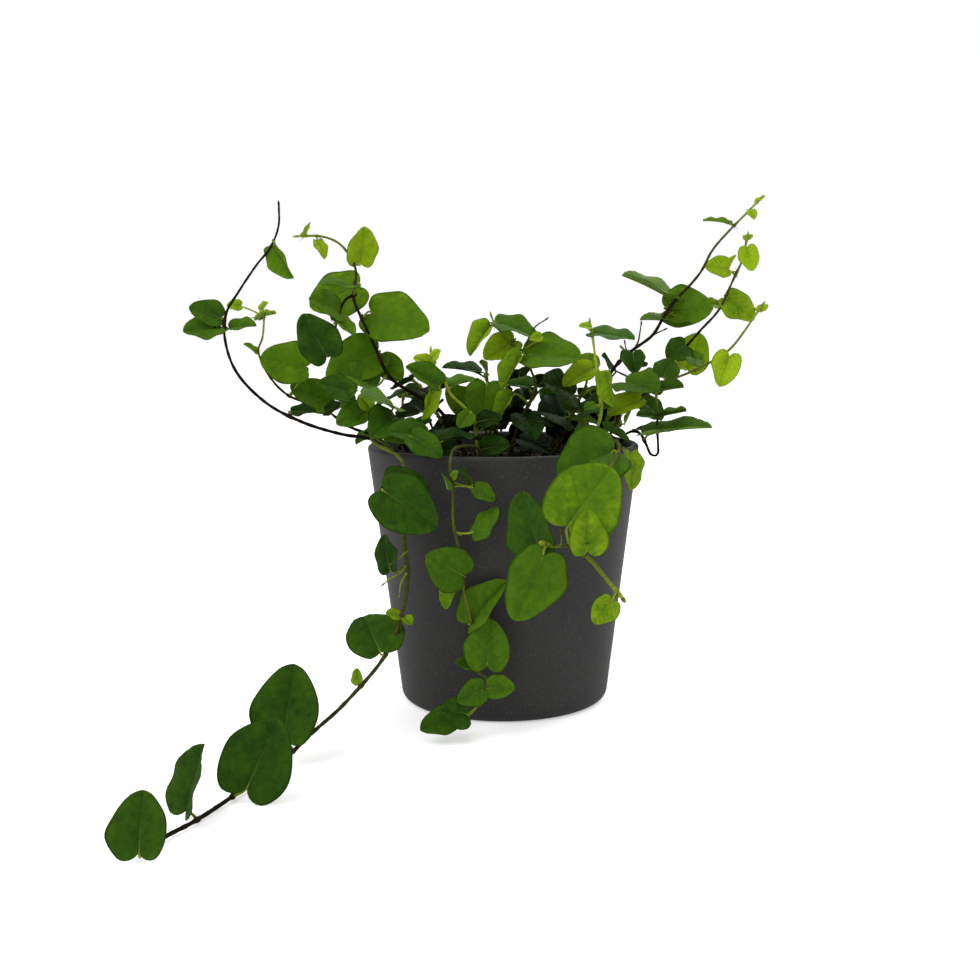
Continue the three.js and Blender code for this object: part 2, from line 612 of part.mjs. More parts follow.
// Stems with their leaves.
function rootedRoute(shoot) {
  const [x, y] = shoot.hole;
  return [[x, y, ROOT_END], [x, y, 98], [x, y, SOIL_TOP + 0.5], [x, y, COLLAR], ...shoot.route];
}

function nearestOn(paths, point) {
  let best = null;
  paths.forEach((path) => {
    const above = path.findIndex((p) => p.z > COLLAR);
    path.slice(Math.max(above, 0)).forEach((p) => {
      if (!best || p.distanceTo(point) < best.distanceTo(point)) best = p;
    });
  });
  return best;
}

// Centres and directions of a petiole from the blade's notch back to the stem. It leaves the
// notch behind the blade, and a long one sags or lifts halfway.
function petioleRoute(start, blade) {
  const reach = start.clone().sub(blade.base);
  const length = reach.length();
  const centres = [blade.base.clone()];
  const under = reach.dot(blade.up) < 0 ? -1 : 1;
  if (reach.dot(blade.along) > -0.5 * length) {
    centres.push(blade.base.clone().addScaledVector(blade.along, -BEND_BEHIND)
      .addScaledVector(blade.up, BEND_ASIDE * under));
  } else if (length > LONG_PETIOLE) {
    centres.push(blade.base.clone().addScaledVector(reach, 0.45)
      .addScaledVector(blade.along, -0.1 * length));
  }
  centres.push(start.clone());
  return centres.map((centre, i) => {
    const before = centres[Math.max(i - 1, 0)];
    const after = centres[Math.min(i + 1, centres.length - 1)];
    return { centre, tangent: after.clone().sub(before).normalize() };
  });
}

// Close points along the straight pieces between a line's corners.
function alongLine(corners) {
  const samples = [corners[0].clone()];
  for (let i = 1; i < corners.length; i += 1) {
    const count = Math.max(1, Math.round(corners[i].distanceTo(corners[i - 1]) / SAMPLE));
    for (let k = 1; k <= count; k += 1) {
      samples.push(corners[i - 1].clone().lerp(corners[i], k / count));
    }
  }
  return samples;
}

// The axis of a stem's tube, as close points.
function axisOf(route) {
  const path = smoothPath(route);
  return alongLine(path.getSpacedPoints(stepsAlong(path, STEM_STEP)));
}

function petioleSamples(start, blade) {
  return alongLine(petioleRoute(start, blade).map(({ centre }) => centre));
}

// Points over a blade for the clearance test: its margin and four ribs across it.
function bladeProbes(blade) {
  const lines = [];
  const edge = [];
  for (let turn = 0; turn < 360; turn += 12) {
    const side = turn <= 180 ? 1 : -1;
    edge.push(blade.world(...blade.margin(turn <= 180 ? turn : 360 - turn, side)));
  }
  lines.push([...edge, edge[0]]);
  [40, 75, 105, 140].forEach((turn) => {
    const rib = [];
    const [a, b] = blade.margin(turn, 1);
    for (let i = -4; i <= 4; i += 1) rib.push(blade.world(a, (b * i) / 4));
    lines.push(rib);
  });
  const mid = [];
  for (let i = 0; i <= 8; i += 1) mid.push(blade.world((blade.length * i) / 8, 0));
  lines.push(mid);
  return lines;
}

function crosses(lines, blade, clear) {
  return lines.some((line) => {
    let before = null;
    return line.some((point) => {
      const gap = blade.gap(point);
      const hit = gap !== null
        && (Math.abs(gap) < clear || (before !== null && before * gap < 0));
      before = gap;
      return hit;
    });
  });
}

// What already stands in the room: blades with their probe points, and stems.
class Room {
  constructor() {
    this.blades = [];
    this.stems = [];
  }

  addBlade(blade, owner) {
    this.blades.push({ blade, owner, lines: bladeProbes(blade) });
  }

  addStem(points, radius, owner) {
    this.stems.push({ points, radius, owner });
  }

  freeOfWalls(lines) {
    return lines.every((line) => line.every((p) => {
      const r = Math.hypot(p.x, p.y);
      if (p.z < CLEAR_FLOOR) return false;
      if (p.z > POT_HEIGHT + CLEAR_POT || r > outerAt(p.z) + CLEAR_POT) return true;
      return p.z > SOIL_TOP + CLEAR_SOIL && r < innerAt(p.z) - CLEAR_POT;
    }));
  }

  fits(blade, lines, petiole, owner) {
    if (!this.freeOfWalls([...lines, petiole])) return false;
    const near = (point, reach) => point.distanceTo(blade.base) < reach;
    const blocked = this.blades.some((other) => {
      if (!near(other.blade.base, 1.1 * (blade.length + other.blade.length) + 8)) return false;
      return crosses(other.lines, blade, CLEAR_BLADE)
        || crosses(lines, other.blade, CLEAR_BLADE)
        || crosses([petiole], other.blade, CLEAR_STEM + PETIOLE_RADIUS);
    });
    if (blocked) return false;
    return !this.stems.some((stem) => {
      const reach = 1.3 * blade.length + 12;
      const close = stem.points.filter((p) => near(p, reach));
      if (crosses([close], blade, CLEAR_STEM + stem.radius)) return stem.owner !== owner;
      if (stem.owner === owner) return false;
      const wide = stem.radius + PETIOLE_RADIUS + 0.8;
      return close.some((p) => petiole.some((q) => q.distanceTo(p) < wide));
    });
  }
}

// Leaves set by rule along a route: alternate sides, faces turned up and outward, each moved
// through the same short list of swings until it clears what stands there, or left off.
function growLeaves(shoot, axis, room, draw) {
  const [from, step, short, long, upTo = Infinity] = shoot.grown;
  const leaves = [];
  const swings = [0, 20, -20, 40, -40, 60, -60];
  let side = 1;
  const last = Math.min(axis.length - 1, upTo / SAMPLE);
  for (let s = from / SAMPLE; s < last; s += step / SAMPLE) {
    const i = Math.floor(s);
    const node = axis[i];
    const heading = axis[Math.min(i + 2, axis.length - 1)].clone().sub(axis[i - 2]).normalize();
    const out = new THREE.Vector3(node.x, node.y, 0).normalize();
    const lean = heading.z < 0 ? 0.85 : 0.2 + (0.4 * Math.hypot(node.x, node.y)) / RIM_RADIUS;
    const wave = draw.next();
    const size = draw.between(short, long) * (0.75 + 0.25 * (1 - i / axis.length));
    const tilt = draw.between(-14, 14);
    const reach = draw.between(4, 7);
    const face = out.multiplyScalar(lean).add(new THREE.Vector3(0, 0, 1 - lean * 0.6));
    face.addScaledVector(heading, -0.5 * face.dot(heading)).normalize();
    side = -side;
    let placed = false;
    for (let k = 0; k < swings.length * 3 && !placed; k += 1) {
      const length = size * [1, 0.8, 0.6][Math.floor(k / swings.length)];
      const across = heading.clone().cross(face).normalize().multiplyScalar(side);
      const along = across.multiplyScalar(0.85).addScaledVector(heading, 0.4);
      along.z -= 0.2;
      along.addScaledVector(face, -along.dot(face)).normalize();
      along.applyAxisAngle(face, rad(swings[k % swings.length]));
      const up = face.clone().applyAxisAngle(along, rad(tilt));
      const base = node.clone().addScaledVector(along, 0.6 * reach).addScaledVector(up, 0.75 * reach);
      const blade = new Blade(base, along, up, length, 10 + 14 * wave, wave);
      const petiole = petioleSamples(node, blade);
      const lines = bladeProbes(blade);
      placed = room.fits(blade, lines, petiole, shoot.name);
      if (placed) {
        room.addBlade(blade, shoot.name);
        room.addStem(petiole, PETIOLE_RADIUS, shoot.name);
        leaves.push({ blade, start: node });
      }
    }
  }
  return leaves;
}

function planShoots() {
  const room = new Room();
  const plans = SHOOTS.map((shoot, number) => {
    const main = rootedRoute(shoot);
    const routes = [main];
    (shoot.branches || []).forEach(([first, ...rest]) => {
      const fork = nearestOn([axisOf(main)], new THREE.Vector3(...first));
      routes.push([fork.toArray(), ...rest]);
    });
    const axes = routes.map(axisOf);
    const plan = { shoot, routes, axes, leaves: [], draw: new Draw(4096 + 97 * number) };
    axes.forEach((axis) => room.addStem(axis, shoot.radius[0], shoot.name));
    (shoot.leaves || []).forEach((row) => {
      const blade = rowBlade(row, plan.draw.next());
      const start = nearestOn(axes, blade.base);
      room.addBlade(blade, shoot.name);
      room.addStem(petioleSamples(start, blade), PETIOLE_RADIUS, shoot.name);
      plan.leaves.push({ blade, start });
    });
    return plan;
  });
  plans.filter((plan) => plan.shoot.grown).forEach((plan) => {
    plan.leaves.push(...growLeaves(plan.shoot, plan.axes[0], room, plan.draw));
  });
  return plans;
}

function shootSolid(plan) {
  const { shoot, routes, leaves } = plan;
  let solid = null;
  const join = (geometry) => {
    const piece = solidOf(geometry);
    solid = solid ? solid.add(piece) : piece;
  };
  routes.forEach((route, k) => {
    const radii = k === 0 ? shoot.radius : [BRANCH_RADIUS, shoot.radius[1]];
    join(tube(route, radii, STEM_SIDES, STEM_STEP));
  });
  leaves.forEach(({ blade, start }) => join(leafGeometry(blade, start)));
  return solid;
}

// Assembly.
function meshOf(name, geometry, finish) {
  const material = new THREE.MeshStandardMaterial({ ...finish, metalness: 0, name: `${name}_finish` });
  const mesh = new THREE.Mesh(geometry, material);
  mesh.name = name;
  return mesh;
}

function buildPlant() {
  const plant = new THREE.Group();
  plant.name = 'potted_creeping_fig';
  const plans = planShoots();
  plant.add(meshOf('pot', geometryOf(solidOf(potGeometry())), POT_FINISH));
  let soil = solidOf(soilGeometry());
  SHOOTS.forEach((shoot) => {
    soil = soil.subtract(solidOf(stemHole(shoot.hole, shoot.radius[0])));
  });
  plant.add(meshOf('soil', geometryOf(soil), SOIL_FINISH));
  plans.forEach((plan) => {
    const finish = GREEN[plan.shoot.green];
    plant.add(meshOf(plan.shoot.name, geometryOf(shootSolid(plan)), finish));
  });
  return plant;
}

export default buildPlant();
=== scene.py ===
"""Looks of the potted creeping fig (Ficus pumila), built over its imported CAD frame.

The leafy stems follow the part's own source: the same routes, leaf rows and growth rule, in the same
millimetres, +Z up and with the origin under the pot's middle. Each stem's node gives way to a skin of
quilted leaves and a skin of stalks that keep the node's form. Meshes are made in millimetres and put
into Blender in metres.
"""

from __future__ import annotations

import logging
import math
from dataclasses import dataclass, field
from enum import Enum
from typing import Sequence

import bpy
import numpy as np
from mathutils import Matrix, Vector


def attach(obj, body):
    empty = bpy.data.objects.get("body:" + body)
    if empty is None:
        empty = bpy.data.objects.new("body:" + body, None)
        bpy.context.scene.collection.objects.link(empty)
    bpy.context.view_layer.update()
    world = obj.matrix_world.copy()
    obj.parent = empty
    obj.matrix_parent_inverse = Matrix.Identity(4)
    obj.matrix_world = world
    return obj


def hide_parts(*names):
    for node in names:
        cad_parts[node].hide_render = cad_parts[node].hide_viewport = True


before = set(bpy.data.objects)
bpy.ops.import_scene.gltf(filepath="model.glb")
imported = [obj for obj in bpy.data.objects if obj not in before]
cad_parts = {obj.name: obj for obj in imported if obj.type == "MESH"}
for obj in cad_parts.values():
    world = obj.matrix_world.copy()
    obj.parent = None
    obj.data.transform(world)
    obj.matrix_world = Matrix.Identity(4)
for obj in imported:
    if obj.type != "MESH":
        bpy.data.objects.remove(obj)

LOG = logging.getLogger("creeping_fig")
ROOT = "root"
MM = 0.001

Row = tuple[float, ...]
Colour = tuple[float, float, float]


class Green(Enum):
    """The record's leaf slots, with the lowest and highest tone of the leaves that grow by rule."""

    DEEP = ("leaf_deep", -0.15, 0.08)
    MIDDLE = ("leaf_mid", -0.1, 0.2)
    BRIGHT = ("leaf_bright", -0.1, 0.25)


class Bark(Enum):
    """How old a stem looks at its root, from 0, green, to 1, dark wood, and how old at its tip.

    The third number is how fast the one gives way to the other: over 1 the change comes late. The
    last two are its share of the shoot's radius at root and tip. AGED is for a stem that is green
    where it hangs and dark wood where it lies.
    """

    WOODY = (1.0, 0.05, 3.5, 0.8, 0.8)
    DRY = (1.0, 0.85, 1.0, 0.8, 0.8)
    OLIVE = (0.75, 0.25, 0.8, 0.7, 0.8)
    GREEN = (0.62, 0.3, 0.8, 0.7, 0.95)
    YOUNG = (0.3, 0.0, 1.0, 0.95, 0.95)
    AGED = (0.35, 0.95, 1.5, 0.75, 1.5)


@dataclass(frozen=True)
class Shoot:
    """One leafy stem, in millimetres and degrees.

    It stands in a hole of the soil and follows its route. A leaf row is the blade's base point, the
    heading and rise of its length, its roll, its length, the fold of its halves and its tone, from
    -0.2, deep green, to 1, young and bright. The tones hold painted light as well as each leaf's own
    green: lower for leaves that sit in shade, higher for leaves in full light or lit from behind.
    grown sets leaves by rule: from, step, shortest and longest blade, and how far up the route they
    go. spurs are bare side twigs, from the stem outward.
    """

    name: str
    hole: Row
    radius: Row
    green: Green
    bark: Bark
    route: tuple[Row, ...]
    branches: tuple[tuple[Row, ...], ...] = ()
    grown: Row = ()
    leaves: tuple[Row, ...] = ()
    spurs: tuple[tuple[Row, ...], ...] = ()


# The last number of each leaf row, the tone, carries painted shade and painted light besides the leaf's own
# green.
SHOOTS = (
    Shoot(
        "stem_left_outer", (-44, -8), (1.1, 0.55), Green.MIDDLE, Bark.DRY,
        route=(
            (-52, -6, 114), (-60, -5, 117), (-70, -9, 119), (-87, -14, 125), (-102, -18, 134),
            (-114, -20, 148), (-118, -20, 163), (-117, -19, 172), (-112, -16, 181), (-105, -12, 192),
            (-99, -9, 200), (-96, -6, 209), (-96, -4, 217),
        ),
        leaves=(
            (-120, -20, 170, -155, 22, -70, 13, 15, 0.28), (-120, -21, 166, -160, -5, -45, 15, 20, 0.38),
            (-115.5, -18, 165.2, -15, 12, 30, 11.5, 25, 0.45),
            (-97, -9, 199.5, -30, -55, 100, 16, 46, 0.6), (-91, -12, 129, -10, 10, 30, 10, 20, -0.05),
        ),
    ),
    Shoot(
        "stem_left_inner", (-43, 14), (1, 0.55), Green.MIDDLE, Bark.WOODY,
        route=(
            (-48, 13, 115), (-58, 12, 117), (-69, 14, 120), (-82, 14, 129), (-97, 12, 135),
            (-105, 10, 144), (-109, 8, 155), (-107, 8, 161), (-106, 8, 170),
        ),
        grown=(20, 12, 11, 16, 45),
        leaves=(
            (-107, 5, 173, -45, 35, 70, 6, 20, 0.8), (-110, 11, 170, -20, 12, 17, 10, 15, 0.7),
            (-116, 6, 175, -155, 5, -65, 6, 15, 0.9), (-110, 8, 154, -150, 45, -30, 7, 30, 0.65),
            (-88, 4, 148, -175, 14, -70, 20, 15, 0.58), (-80, 14, 131, -160, 32, -65, 18, 15, 0.48),
            (-79, 7, 128, -30, 25, 50, 9, 20, -0.1),
        ),
    ),
    Shoot(
        "stem_left_tall", (-16, -14), (1.2, 0.55), Green.MIDDLE, Bark.WOODY,
        route=(
            (-21, -13, 120), (-27, -12, 129), (-35, -14, 135), (-48, -18, 144), (-54, -20, 157),
            (-59, -20, 168), (-63, -18, 178), (-62, -16, 189), (-65, -14, 196), (-70, -12, 201.3),
            (-77, -10, 204), (-87, -8, 204.3),
        ),
        branches=(((-63, -18, 180), (-66, -22, 177), (-69.2, -24.6, 169)),),
        grown=(18, 9, 13, 18, 60),
        leaves=(
            (-84, -9, 205, -65, 45, 45, 7, 15, 1), (-79, -10, 201.7, -30, -55, 10, 8, 20, 0.95),
            (-60.6, -13, 193.3, -55, 70, 175, 15, 20, 0.88),
            (-62.4, -10, 182.4, -165, -22, -60, 21.9, 12, 0.62),
            (-63, -25, 182, -130, 5, -20, 16, 20, 0.5), (-69, -25, 172, -130, 25, -60, 15, 15, 0.55),
            (-70, -26, 169, -15, -38, 17, 11, 25, 0.6), (-55.2, -13, 171.3, -20, -12, 56, 25.5, 12, 0.58),
            (-54.4, -12.5, 154.1, -152, -24, -50, 24.6, 15, 0.52),
            (-52.2, -13, 150.9, -10, -40, 65, 12, 15, 0.55),
            (-73.4, -31, 154.4, -150, 57, -115, 19, 15, 0.12), (-55, -20, 141, -150, 25, -45, 18, 20, 0.5),
        ),
    ),
    Shoot(
        "stem_left_low", (-34, -20), (1, 0.6), Green.DEEP, Bark.OLIVE,
        route=(
            (-38, -22, 113), (-43, -26, 121), (-50, -30, 127), (-57, -34, 131), (-63, -36, 134),
            (-69, -36, 137),
        ),
        grown=(15, 6, 11, 17, 40),
        leaves=(
            (-46, -36, 133, -120, 20, -30, 20, 15, 0.5), (-45, -38, 128, -115, -15, -35, 18, 15, 0.3),
            (-49, -35, 124, -35, -25, 40, 13, 25, 0.55), (-58, -38, 137, 0, -55, 65, 8, 25, 0.85),
            (-66, -41, 135, -35, 40, 60, 9, 20, 0.42), (-62, -42, 139, -162, 20, -50, 14, 15, 0.2),
            (-57, -38.5, 131.3, -175, -19, -55, 13, 15, 0.35),
        ),
    ),
    Shoot(
        "stem_front_lip", (-24, -37), (0.9, 0.6), Green.DEEP, Bark.OLIVE,
        route=(
            (-26, -44, 116), (-32, -50, 119), (-37, -54, 119.5),
        ),
        leaves=(
            (-36, -57, 122, -15, -30, 45, 14, 20, 0.25), (-32, -49, 122, -150, 10, -40, 16, 15, 0.24),
            (-24, -47, 120, 35, 5, 10, 18, 25, -0.05),
        ),
    ),
    Shoot(
        "stem_centre_left", (-10, -30), (0.9, 0.5), Green.BRIGHT, Bark.YOUNG,
        route=(
            (-11, -30, 117), (-12, -30, 126), (-16, -31, 132), (-22, -32, 138), (-25, -33, 145),
            (-29, -34, 150), (-29.7, -34, 154.8),
        ),
        grown=(15, 6, 10, 15, 40),
        leaves=(
            (-29, -35, 153, -35, 40, 85, 5, 15, 1), (-29, -34, 149.5, -160, 24, -50, 9, 15, 0.95),
            (-27.3, -38.5, 142, -166, 34, -60, 14.6, 42, 0.38),
            (-30, -36, 140.2, -130, -73, -85, 13.2, 50, 0.93),
            (-14, -34, 129.5, -142, -42, -50, 8, 20, 0.5), (-21, -30, 141, 40, 15, 10, 14, 25, 0.45),
        ),
    ),
    Shoot(
        "stem_centre_tall", (2, -12), (1.1, 0.55), Green.MIDDLE, Bark.OLIVE,
        route=(
            (4, -14, 115), (6, -14, 121), (9, -15, 128), (12, -16, 134), (14, -17, 141), (12, -18, 147),
            (10, -18, 154), (5, -19, 157), (1, -19, 161), (-3, -20, 166), (-4.4, -20, 169),
        ),
        grown=(15, 6, 12, 18, 48),
        leaves=(
            (-5.4, -21, 165, -150, -47, -28, 15, 48, 0.75),
            (-2, -16.5, 166.6, -22, -12, 20, 18.5, 20, 0.38),
            (4.3, -16, 159, -157, -28, -47, 15, 20, 0.85), (11, -22, 153.6, -19, -2, 36, 23, 12, 0.5),
            (16, -25, 161, -150, -7, -65, 5, 15, 0.85), (8, -24, 152.3, -158, -50, -25, 15.5, 50, 0.72),
            (4, -22, 136, -158, -55, -25, 14, 50, 0.65), (11, -11, 139, 140, 5, -15, 15, 25, 0.2),
        ),
        spurs=(
            ((10, -18, 158), (13.8, -19, 165.1), (18, -20, 168)),
        ),
    ),
    Shoot(
        "stem_centre_broad", (-4, 4), (1, 0.6), Green.DEEP, Bark.OLIVE,
        route=(
            (-2, 2, 113), (-4, 0, 121), (-5, -3, 129), (-6, -6, 135), (-7, -8, 143),
        ),
        grown=(15, 6, 13, 18),
        leaves=(
            (-7, -14, 140, -103, -60, -12, 18, 10, 0.5), (-11, -6, 145.5, -167, 16, -14, 15.5, 20, 0),
            (-7, -9, 146, -110, 35, -70, 8, 20, 0.5), (-14, 0, 129, -157, 42, -105, 15, 15, 0.55),
        ),
    ),
    Shoot(
        "stem_centre_right", (28, -24), (1, 0.5), Green.MIDDLE, Bark.YOUNG,
        route=(
            (33, -27, 114), (39, -30, 122), (41, -32, 131), (40, -33, 138), (39, -34, 147), (38, -35, 154),
            (37, -36, 161), (36, -36, 166),
        ),
        grown=(15, 6, 11, 16, 44),
        leaves=(
            (36, -37, 165, -160, 10, -40, 5, 20, 1), (38, -36, 162.3, -23, -4, 14, 17, 10, 0.3),
            (43.6, -37.5, 145.6, -78, -77, 65, 13.3, 38, 0.75),
            (38, -36, 133, -140, -15, -30, 6, 20, 0.45),
        ),
    ),
    Shoot(
        "stem_right_mass", (22, 2), (1, 0.6), Green.DEEP, Bark.OLIVE,
        route=(
            (25, 1, 113), (29, -4, 123), (33, -8, 133), (36, -10, 140), (37, -12, 147),
        ),
        grown=(15, 6, 13, 18),
        leaves=(
            (38, -17, 147, -163, -24, -35, 14.5, 20, 0.85), (35, -6, 146, 55, 35, 25, 12, 15, 0.6),
            (30, -14, 136, -135, 20, -55, 20, 15, -0.05), (26, -12, 126, -120, 15, -55, 20, 15, -0.1),
            (34, -12, 128, -50, 20, 40, 18, 20, 0.2), (27.6, 4, 128, -163, 40, -81, 14.5, 15, 0.4),
        ),
    ),
    Shoot(
        "stem_right_tall", (34, 2), (1.2, 0.55), Green.MIDDLE, Bark.WOODY,
        route=(
            (39, 2, 116), (45, 2, 126), (46, 2, 135), (47, 2, 143), (52, 2, 150), (58, 2, 155),
            (66, 2, 161), (71, 3, 169), (76, 4, 176), (83, 6, 183), (88, 8, 189), (93, 10, 198),
            (100, 11, 206), (107, 12, 213), (114, 13, 220),
        ),
        grown=(26, 9, 13, 18, 70),
        leaves=(
            (110, 11, 215, -80, -45, 5, 5, 15, 1), (99.5, 12, 210, -170, 12, -5, 11, 20, 0.6),
            (75, 8, 176.6, -168, 30, -16, 25, 20, 0.55), (73.5, 8, 172.3, -19, 2, 68, 19.8, 12, 0.52),
            (80.1, 7, 166.1, -173, 13, -12, 19.3, 15, 0.55), (57, -1, 153, -90, -35, 0, 12, 20, 0.12),
            (113, 13, 219, 30, 40, 0, 5, 20, 1),
        ),
        spurs=(
            ((58, 2, 155), (59.6, 2, 158), (60.9, 2, 165.4)),
            ((56, 2, 153), (54.4, 2, 155), (53.9, 2, 157.2)),
            ((66, 2, 161), (68.1, 1.5, 162), (70.7, 1, 163.2)),
        ),
    ),
    Shoot(
        "stem_right_mid", (39, 18), (1.1, 0.55), Green.MIDDLE, Bark.WOODY,
        route=(
            (43, 19, 116), (54, 20, 126), (63, 20, 133), (69, 20, 139), (75, 20, 147), (82, 20, 154),
            (90, 20, 163), (98, 20, 172), (104, 20, 185), (108, 20, 194), (110, 20, 204),
        ),
        grown=(26, 12, 13, 18, 60),
        leaves=(
            (109.5, 17, 199, -40, -72, 48, 10.3, 12, 1), (102, 23, 177, -21, -34, 56, 15.5, 15, 0.78),
            (100.7, 16, 190, -158, 9, -75, 10.8, 15, 0.92), (102, 20, 191, -25, 63, 33, 6, 30, 1),
            (98, 23, 174, -150, 5, -40, 8, 25, 0.75), (82, 15, 155.8, -140, -20, -55, 12.3, 12, 0.25),
            (84.5, 25, 146, -4, 68, 92, 16.5, 12, 0.8), (84, 16, 151, -55, -10, 20, 9, 25, 0.65),
            (110, 20, 203, 70, 40, 0, 5, 20, 0.85),
        ),
    ),
    Shoot(
        "stem_right_low", (40, -12), (1, 0.55), Green.BRIGHT, Bark.OLIVE,
        route=(
            (44, -12, 114), (49, -11, 123), (54, -10, 131), (61, -10, 135), (71, -10, 141), (83, -10, 146),
            (89, -10, 149), (98, -10, 155), (107, -10, 167), (111, -10, 173),
        ),
        grown=(16, 8, 11, 16, 36),
        leaves=(
            (97, -14, 152, -130, -60, -40, 14, 20, 0.93), (66, -14, 137, -35, 15, 20, 13, 30, 0.22),
            (70, -6, 143, 60, 40, 30, 12, 15, 0.25), (53, -14, 141, -55, -5, 25, 20, 15, 0.45),
            (58.3, -17, 133.7, -170, -19, -32, 15, 20, 0.95), (111, -10, 171, 60, 30, 0, 6, 20, 0.95),
            (83, -7, 148, 80, 20, 20, 9, 20, 0.4), (52.4, -19, 124.5, -60, 58, 60, 6.5, 15, 1),
        ),
    ),
    Shoot(
        "stem_right_side", (51, 4), (1, 0.55), Green.MIDDLE, Bark.WOODY,
        route=(
            (52, 4, 113), (56, 4, 118), (60.5, 3, 118), (63.5, 2, 113), (66, 2, 108), (68.6, 2, 108),
            (69, 3, 113), (68.5, 3, 120), (68.8, 4, 128), (68, 5, 136),
        ),
        leaves=(
            (64, -3, 117.7, -20, 14, 8, 28, 18, 0.48), (67, 9, 119, 125, -5, -15, 12, 20, 0.15),
            (70.3, 2, 125.5, -30, 14, 7, 12, 25, 0.5), (67.2, 1.5, 125, -155, 12, -28, 9, 20, 0.3),
            (68, 5, 135, 80, 40, 10, 7, 20, 0.3),
        ),
    ),
    Shoot(
        "stem_trail_left", (-44, -21), (1.1, 0.5), Green.DEEP, Bark.AGED,
        route=(
            (-49, -24, 115), (-54, -28, 119.5), (-55, -33, 119), (-52, -38, 117), (-48, -43, 116),
            (-43, -49, 114), (-40, -55, 111), (-39, -58, 104), (-40, -57, 92), (-40, -57, 79),
            (-39, -56, 67), (-40, -57, 56), (-42, -59, 48), (-45, -62, 40), (-50, -67, 32), (-58, -70, 23),
            (-66, -73, 15), (-74, -84, 10), (-82, -98, 5), (-90, -114, 2.5), (-97, -133, 1.6),
            (-105, -155, 1.6), (-111, -167, 1.7), (-115, -178, 2),
        ),
        leaves=(
            (-46, -57, 104, -15, -10, 70, 17, 15, 0.05), (-47, -63, 101, -5, -35, 75, 25, 22, 0.17),
            (-46, -58, 69, 140, 70, -90, 14, 15, -0.05), (-43, -60, 50, -140, 20, -55, 6, 20, 0.8),
            (-40, -60, 49, -50, -25, 25, 5, 20, 0.75), (-50, -66, 37, 115, 30, -15, 25, 12, 0.22),
            (-58, -70, 25, 120, 60, -60, 6, 20, 0.75), (-84, -95, 12, 75, 70, 15, 27, 20, 0.16),
            (-91, -134, 5.5, 40, 60, 50, 26, 15, 0.12), (-107.5, -153, 5.5, 55, 71, -17, 22, 24, 0.12),
            (-115, -185, 4, 93, 65, 0, 19, 15, 0.2),
        ),
        spurs=(
            ((-39, -57, 76), (-42.4, -58, 73.1), (-44.4, -59, 71.9)),
            ((-39.5, -57, 70), (-42.8, -59, 66.7), (-46.1, -60, 65.1), (-48.1, -60, 63.4)),
            ((-39.3, -57, 67), (-41.6, -59, 63), (-42.1, -60, 59.3)),
        ),
    ),
    Shoot(
        "stem_trail_front", (-8, -40), (0.85, 0.6), Green.DEEP, Bark.GREEN,
        route=(
            (-10, -45, 116), (-16, -53, 118), (-20, -60, 117), (-21, -64, 111), (-20, -63, 104),
            (-20, -62, 97), (-20, -61, 88), (-18, -60, 77), (-17, -60, 67), (-16, -60, 59), (-14, -60, 51),
            (-13, -59, 44), (-14, -58, 35), (-15, -58, 30), (-11, -58, 26), (-7, -59, 23), (-8, -60, 18),
            (-10, -62, 14), (-14, -63, 10), (-20, -64, 6),
        ),
        leaves=(
            (-20, -67, 107, -45, 45, 90, 4, 15, 0.7), (-22, -66, 103, -100, 55, -50, 8, 20, 0.2),
            (-11, -66, 102.5, -10, -27, 45, 9, 20, 0.38), (-12.5, -64, 105, -160, 55, -168, 7, 20, 0.15),
            (-12, -64, 85, -17, 50, 45, 14, -18, 0.43), (-17, -62, 67, -140, 30, -100, 19, 10, 0.4),
            (-22, -61, 62, -130, -68, 0, 9, 8, 0.65), (-13, -56.5, 46.5, -14, 54, 60, 22, 40, 0.5),
            (-7, -62, 30, 0, 86, 94, 19, 15, 0.43), (-13, -60, 29, -150, 20, -45, 8, 20, 0.3),
            (-6, -63, 20.5, -15, 5, 60, 10.5, 15, 0.45), (-9, -64, 20, -140, -10, -70, 12, 15, 0.42),
            (-16, -67, 11, -135, 20, -65, 14, 20, 0.22), (-21, -66, 8, -155, -5, -35, 14, 20, 0.25),
        ),
    ),
    Shoot(
        "stem_trail_right", (34, -34), (1.05, 0.75), Green.BRIGHT, Bark.GREEN,
        route=(
            (38, -38, 113), (44, -45, 119), (46, -55, 119), (45, -68, 117), (40, -86, 112),
            (34, -104, 105), (29, -116, 96), (25, -122, 89), (30, -123, 85), (35, -122, 79),
            (42, -118, 70),
        ),
        branches=(((26, -120, 91), (20, -121, 89), (15, -122, 90)),),
        leaves=(
            (42, -72, 117, -140, -12, -50, 27, 15, 0.36), (23, -124, 97.5, 32, 47, 50, 27, 12, 0.62),
            (13, -116, 86, 160, 72, -115, 23, 12, 0.18), (13.5, -126, 86, -155, -65, -90, 24, 15, 0.48),
            (29, -127, 89, -90, 70, 180, 15, 18, 0.68), (38, -121, 69, -155, -45, -50, 10, 15, 0.78),
            (50, -62, 115, -80, -80, -40, 14, 15, 0.75),
        ),
        spurs=(
            ((16.3, -122.5, 89), (20, -123, 89.7), (20.2, -123, 93.7)),
        ),
    ),
    Shoot(
        "stem_inner_left", (-25, 3), (1, 0.6), Green.DEEP, Bark.OLIVE,
        route=(
            (-25, 4, 114), (-28, 5, 124), (-33, 6, 134), (-40, 8, 142),
        ),
        grown=(18, 8, 15, 22),
    ),
    Shoot(
        "stem_inner_back", (-8, 20), (1, 0.6), Green.MIDDLE, Bark.OLIVE,
        route=(
            (-7, 22, 114), (-3, 26, 122), (3, 28, 130), (10, 28, 136),
        ),
        grown=(16, 7, 15, 22),
    ),
    Shoot(
        "stem_inner_mid", (12, 10), (1, 0.6), Green.DEEP, Bark.OLIVE,
        route=(
            (13, 11, 114), (14, 14, 122), (19, 17, 130), (26, 18, 137),
        ),
        grown=(16, 7, 15, 22),
    ),
    Shoot(
        "stem_inner_right", (22, 24), (1, 0.6), Green.DEEP, Bark.OLIVE,
        route=(
            (24, 26, 115), (29, 29, 124), (36, 31, 132), (45, 33, 138),
        ),
        grown=(18, 8, 15, 22),
    ),
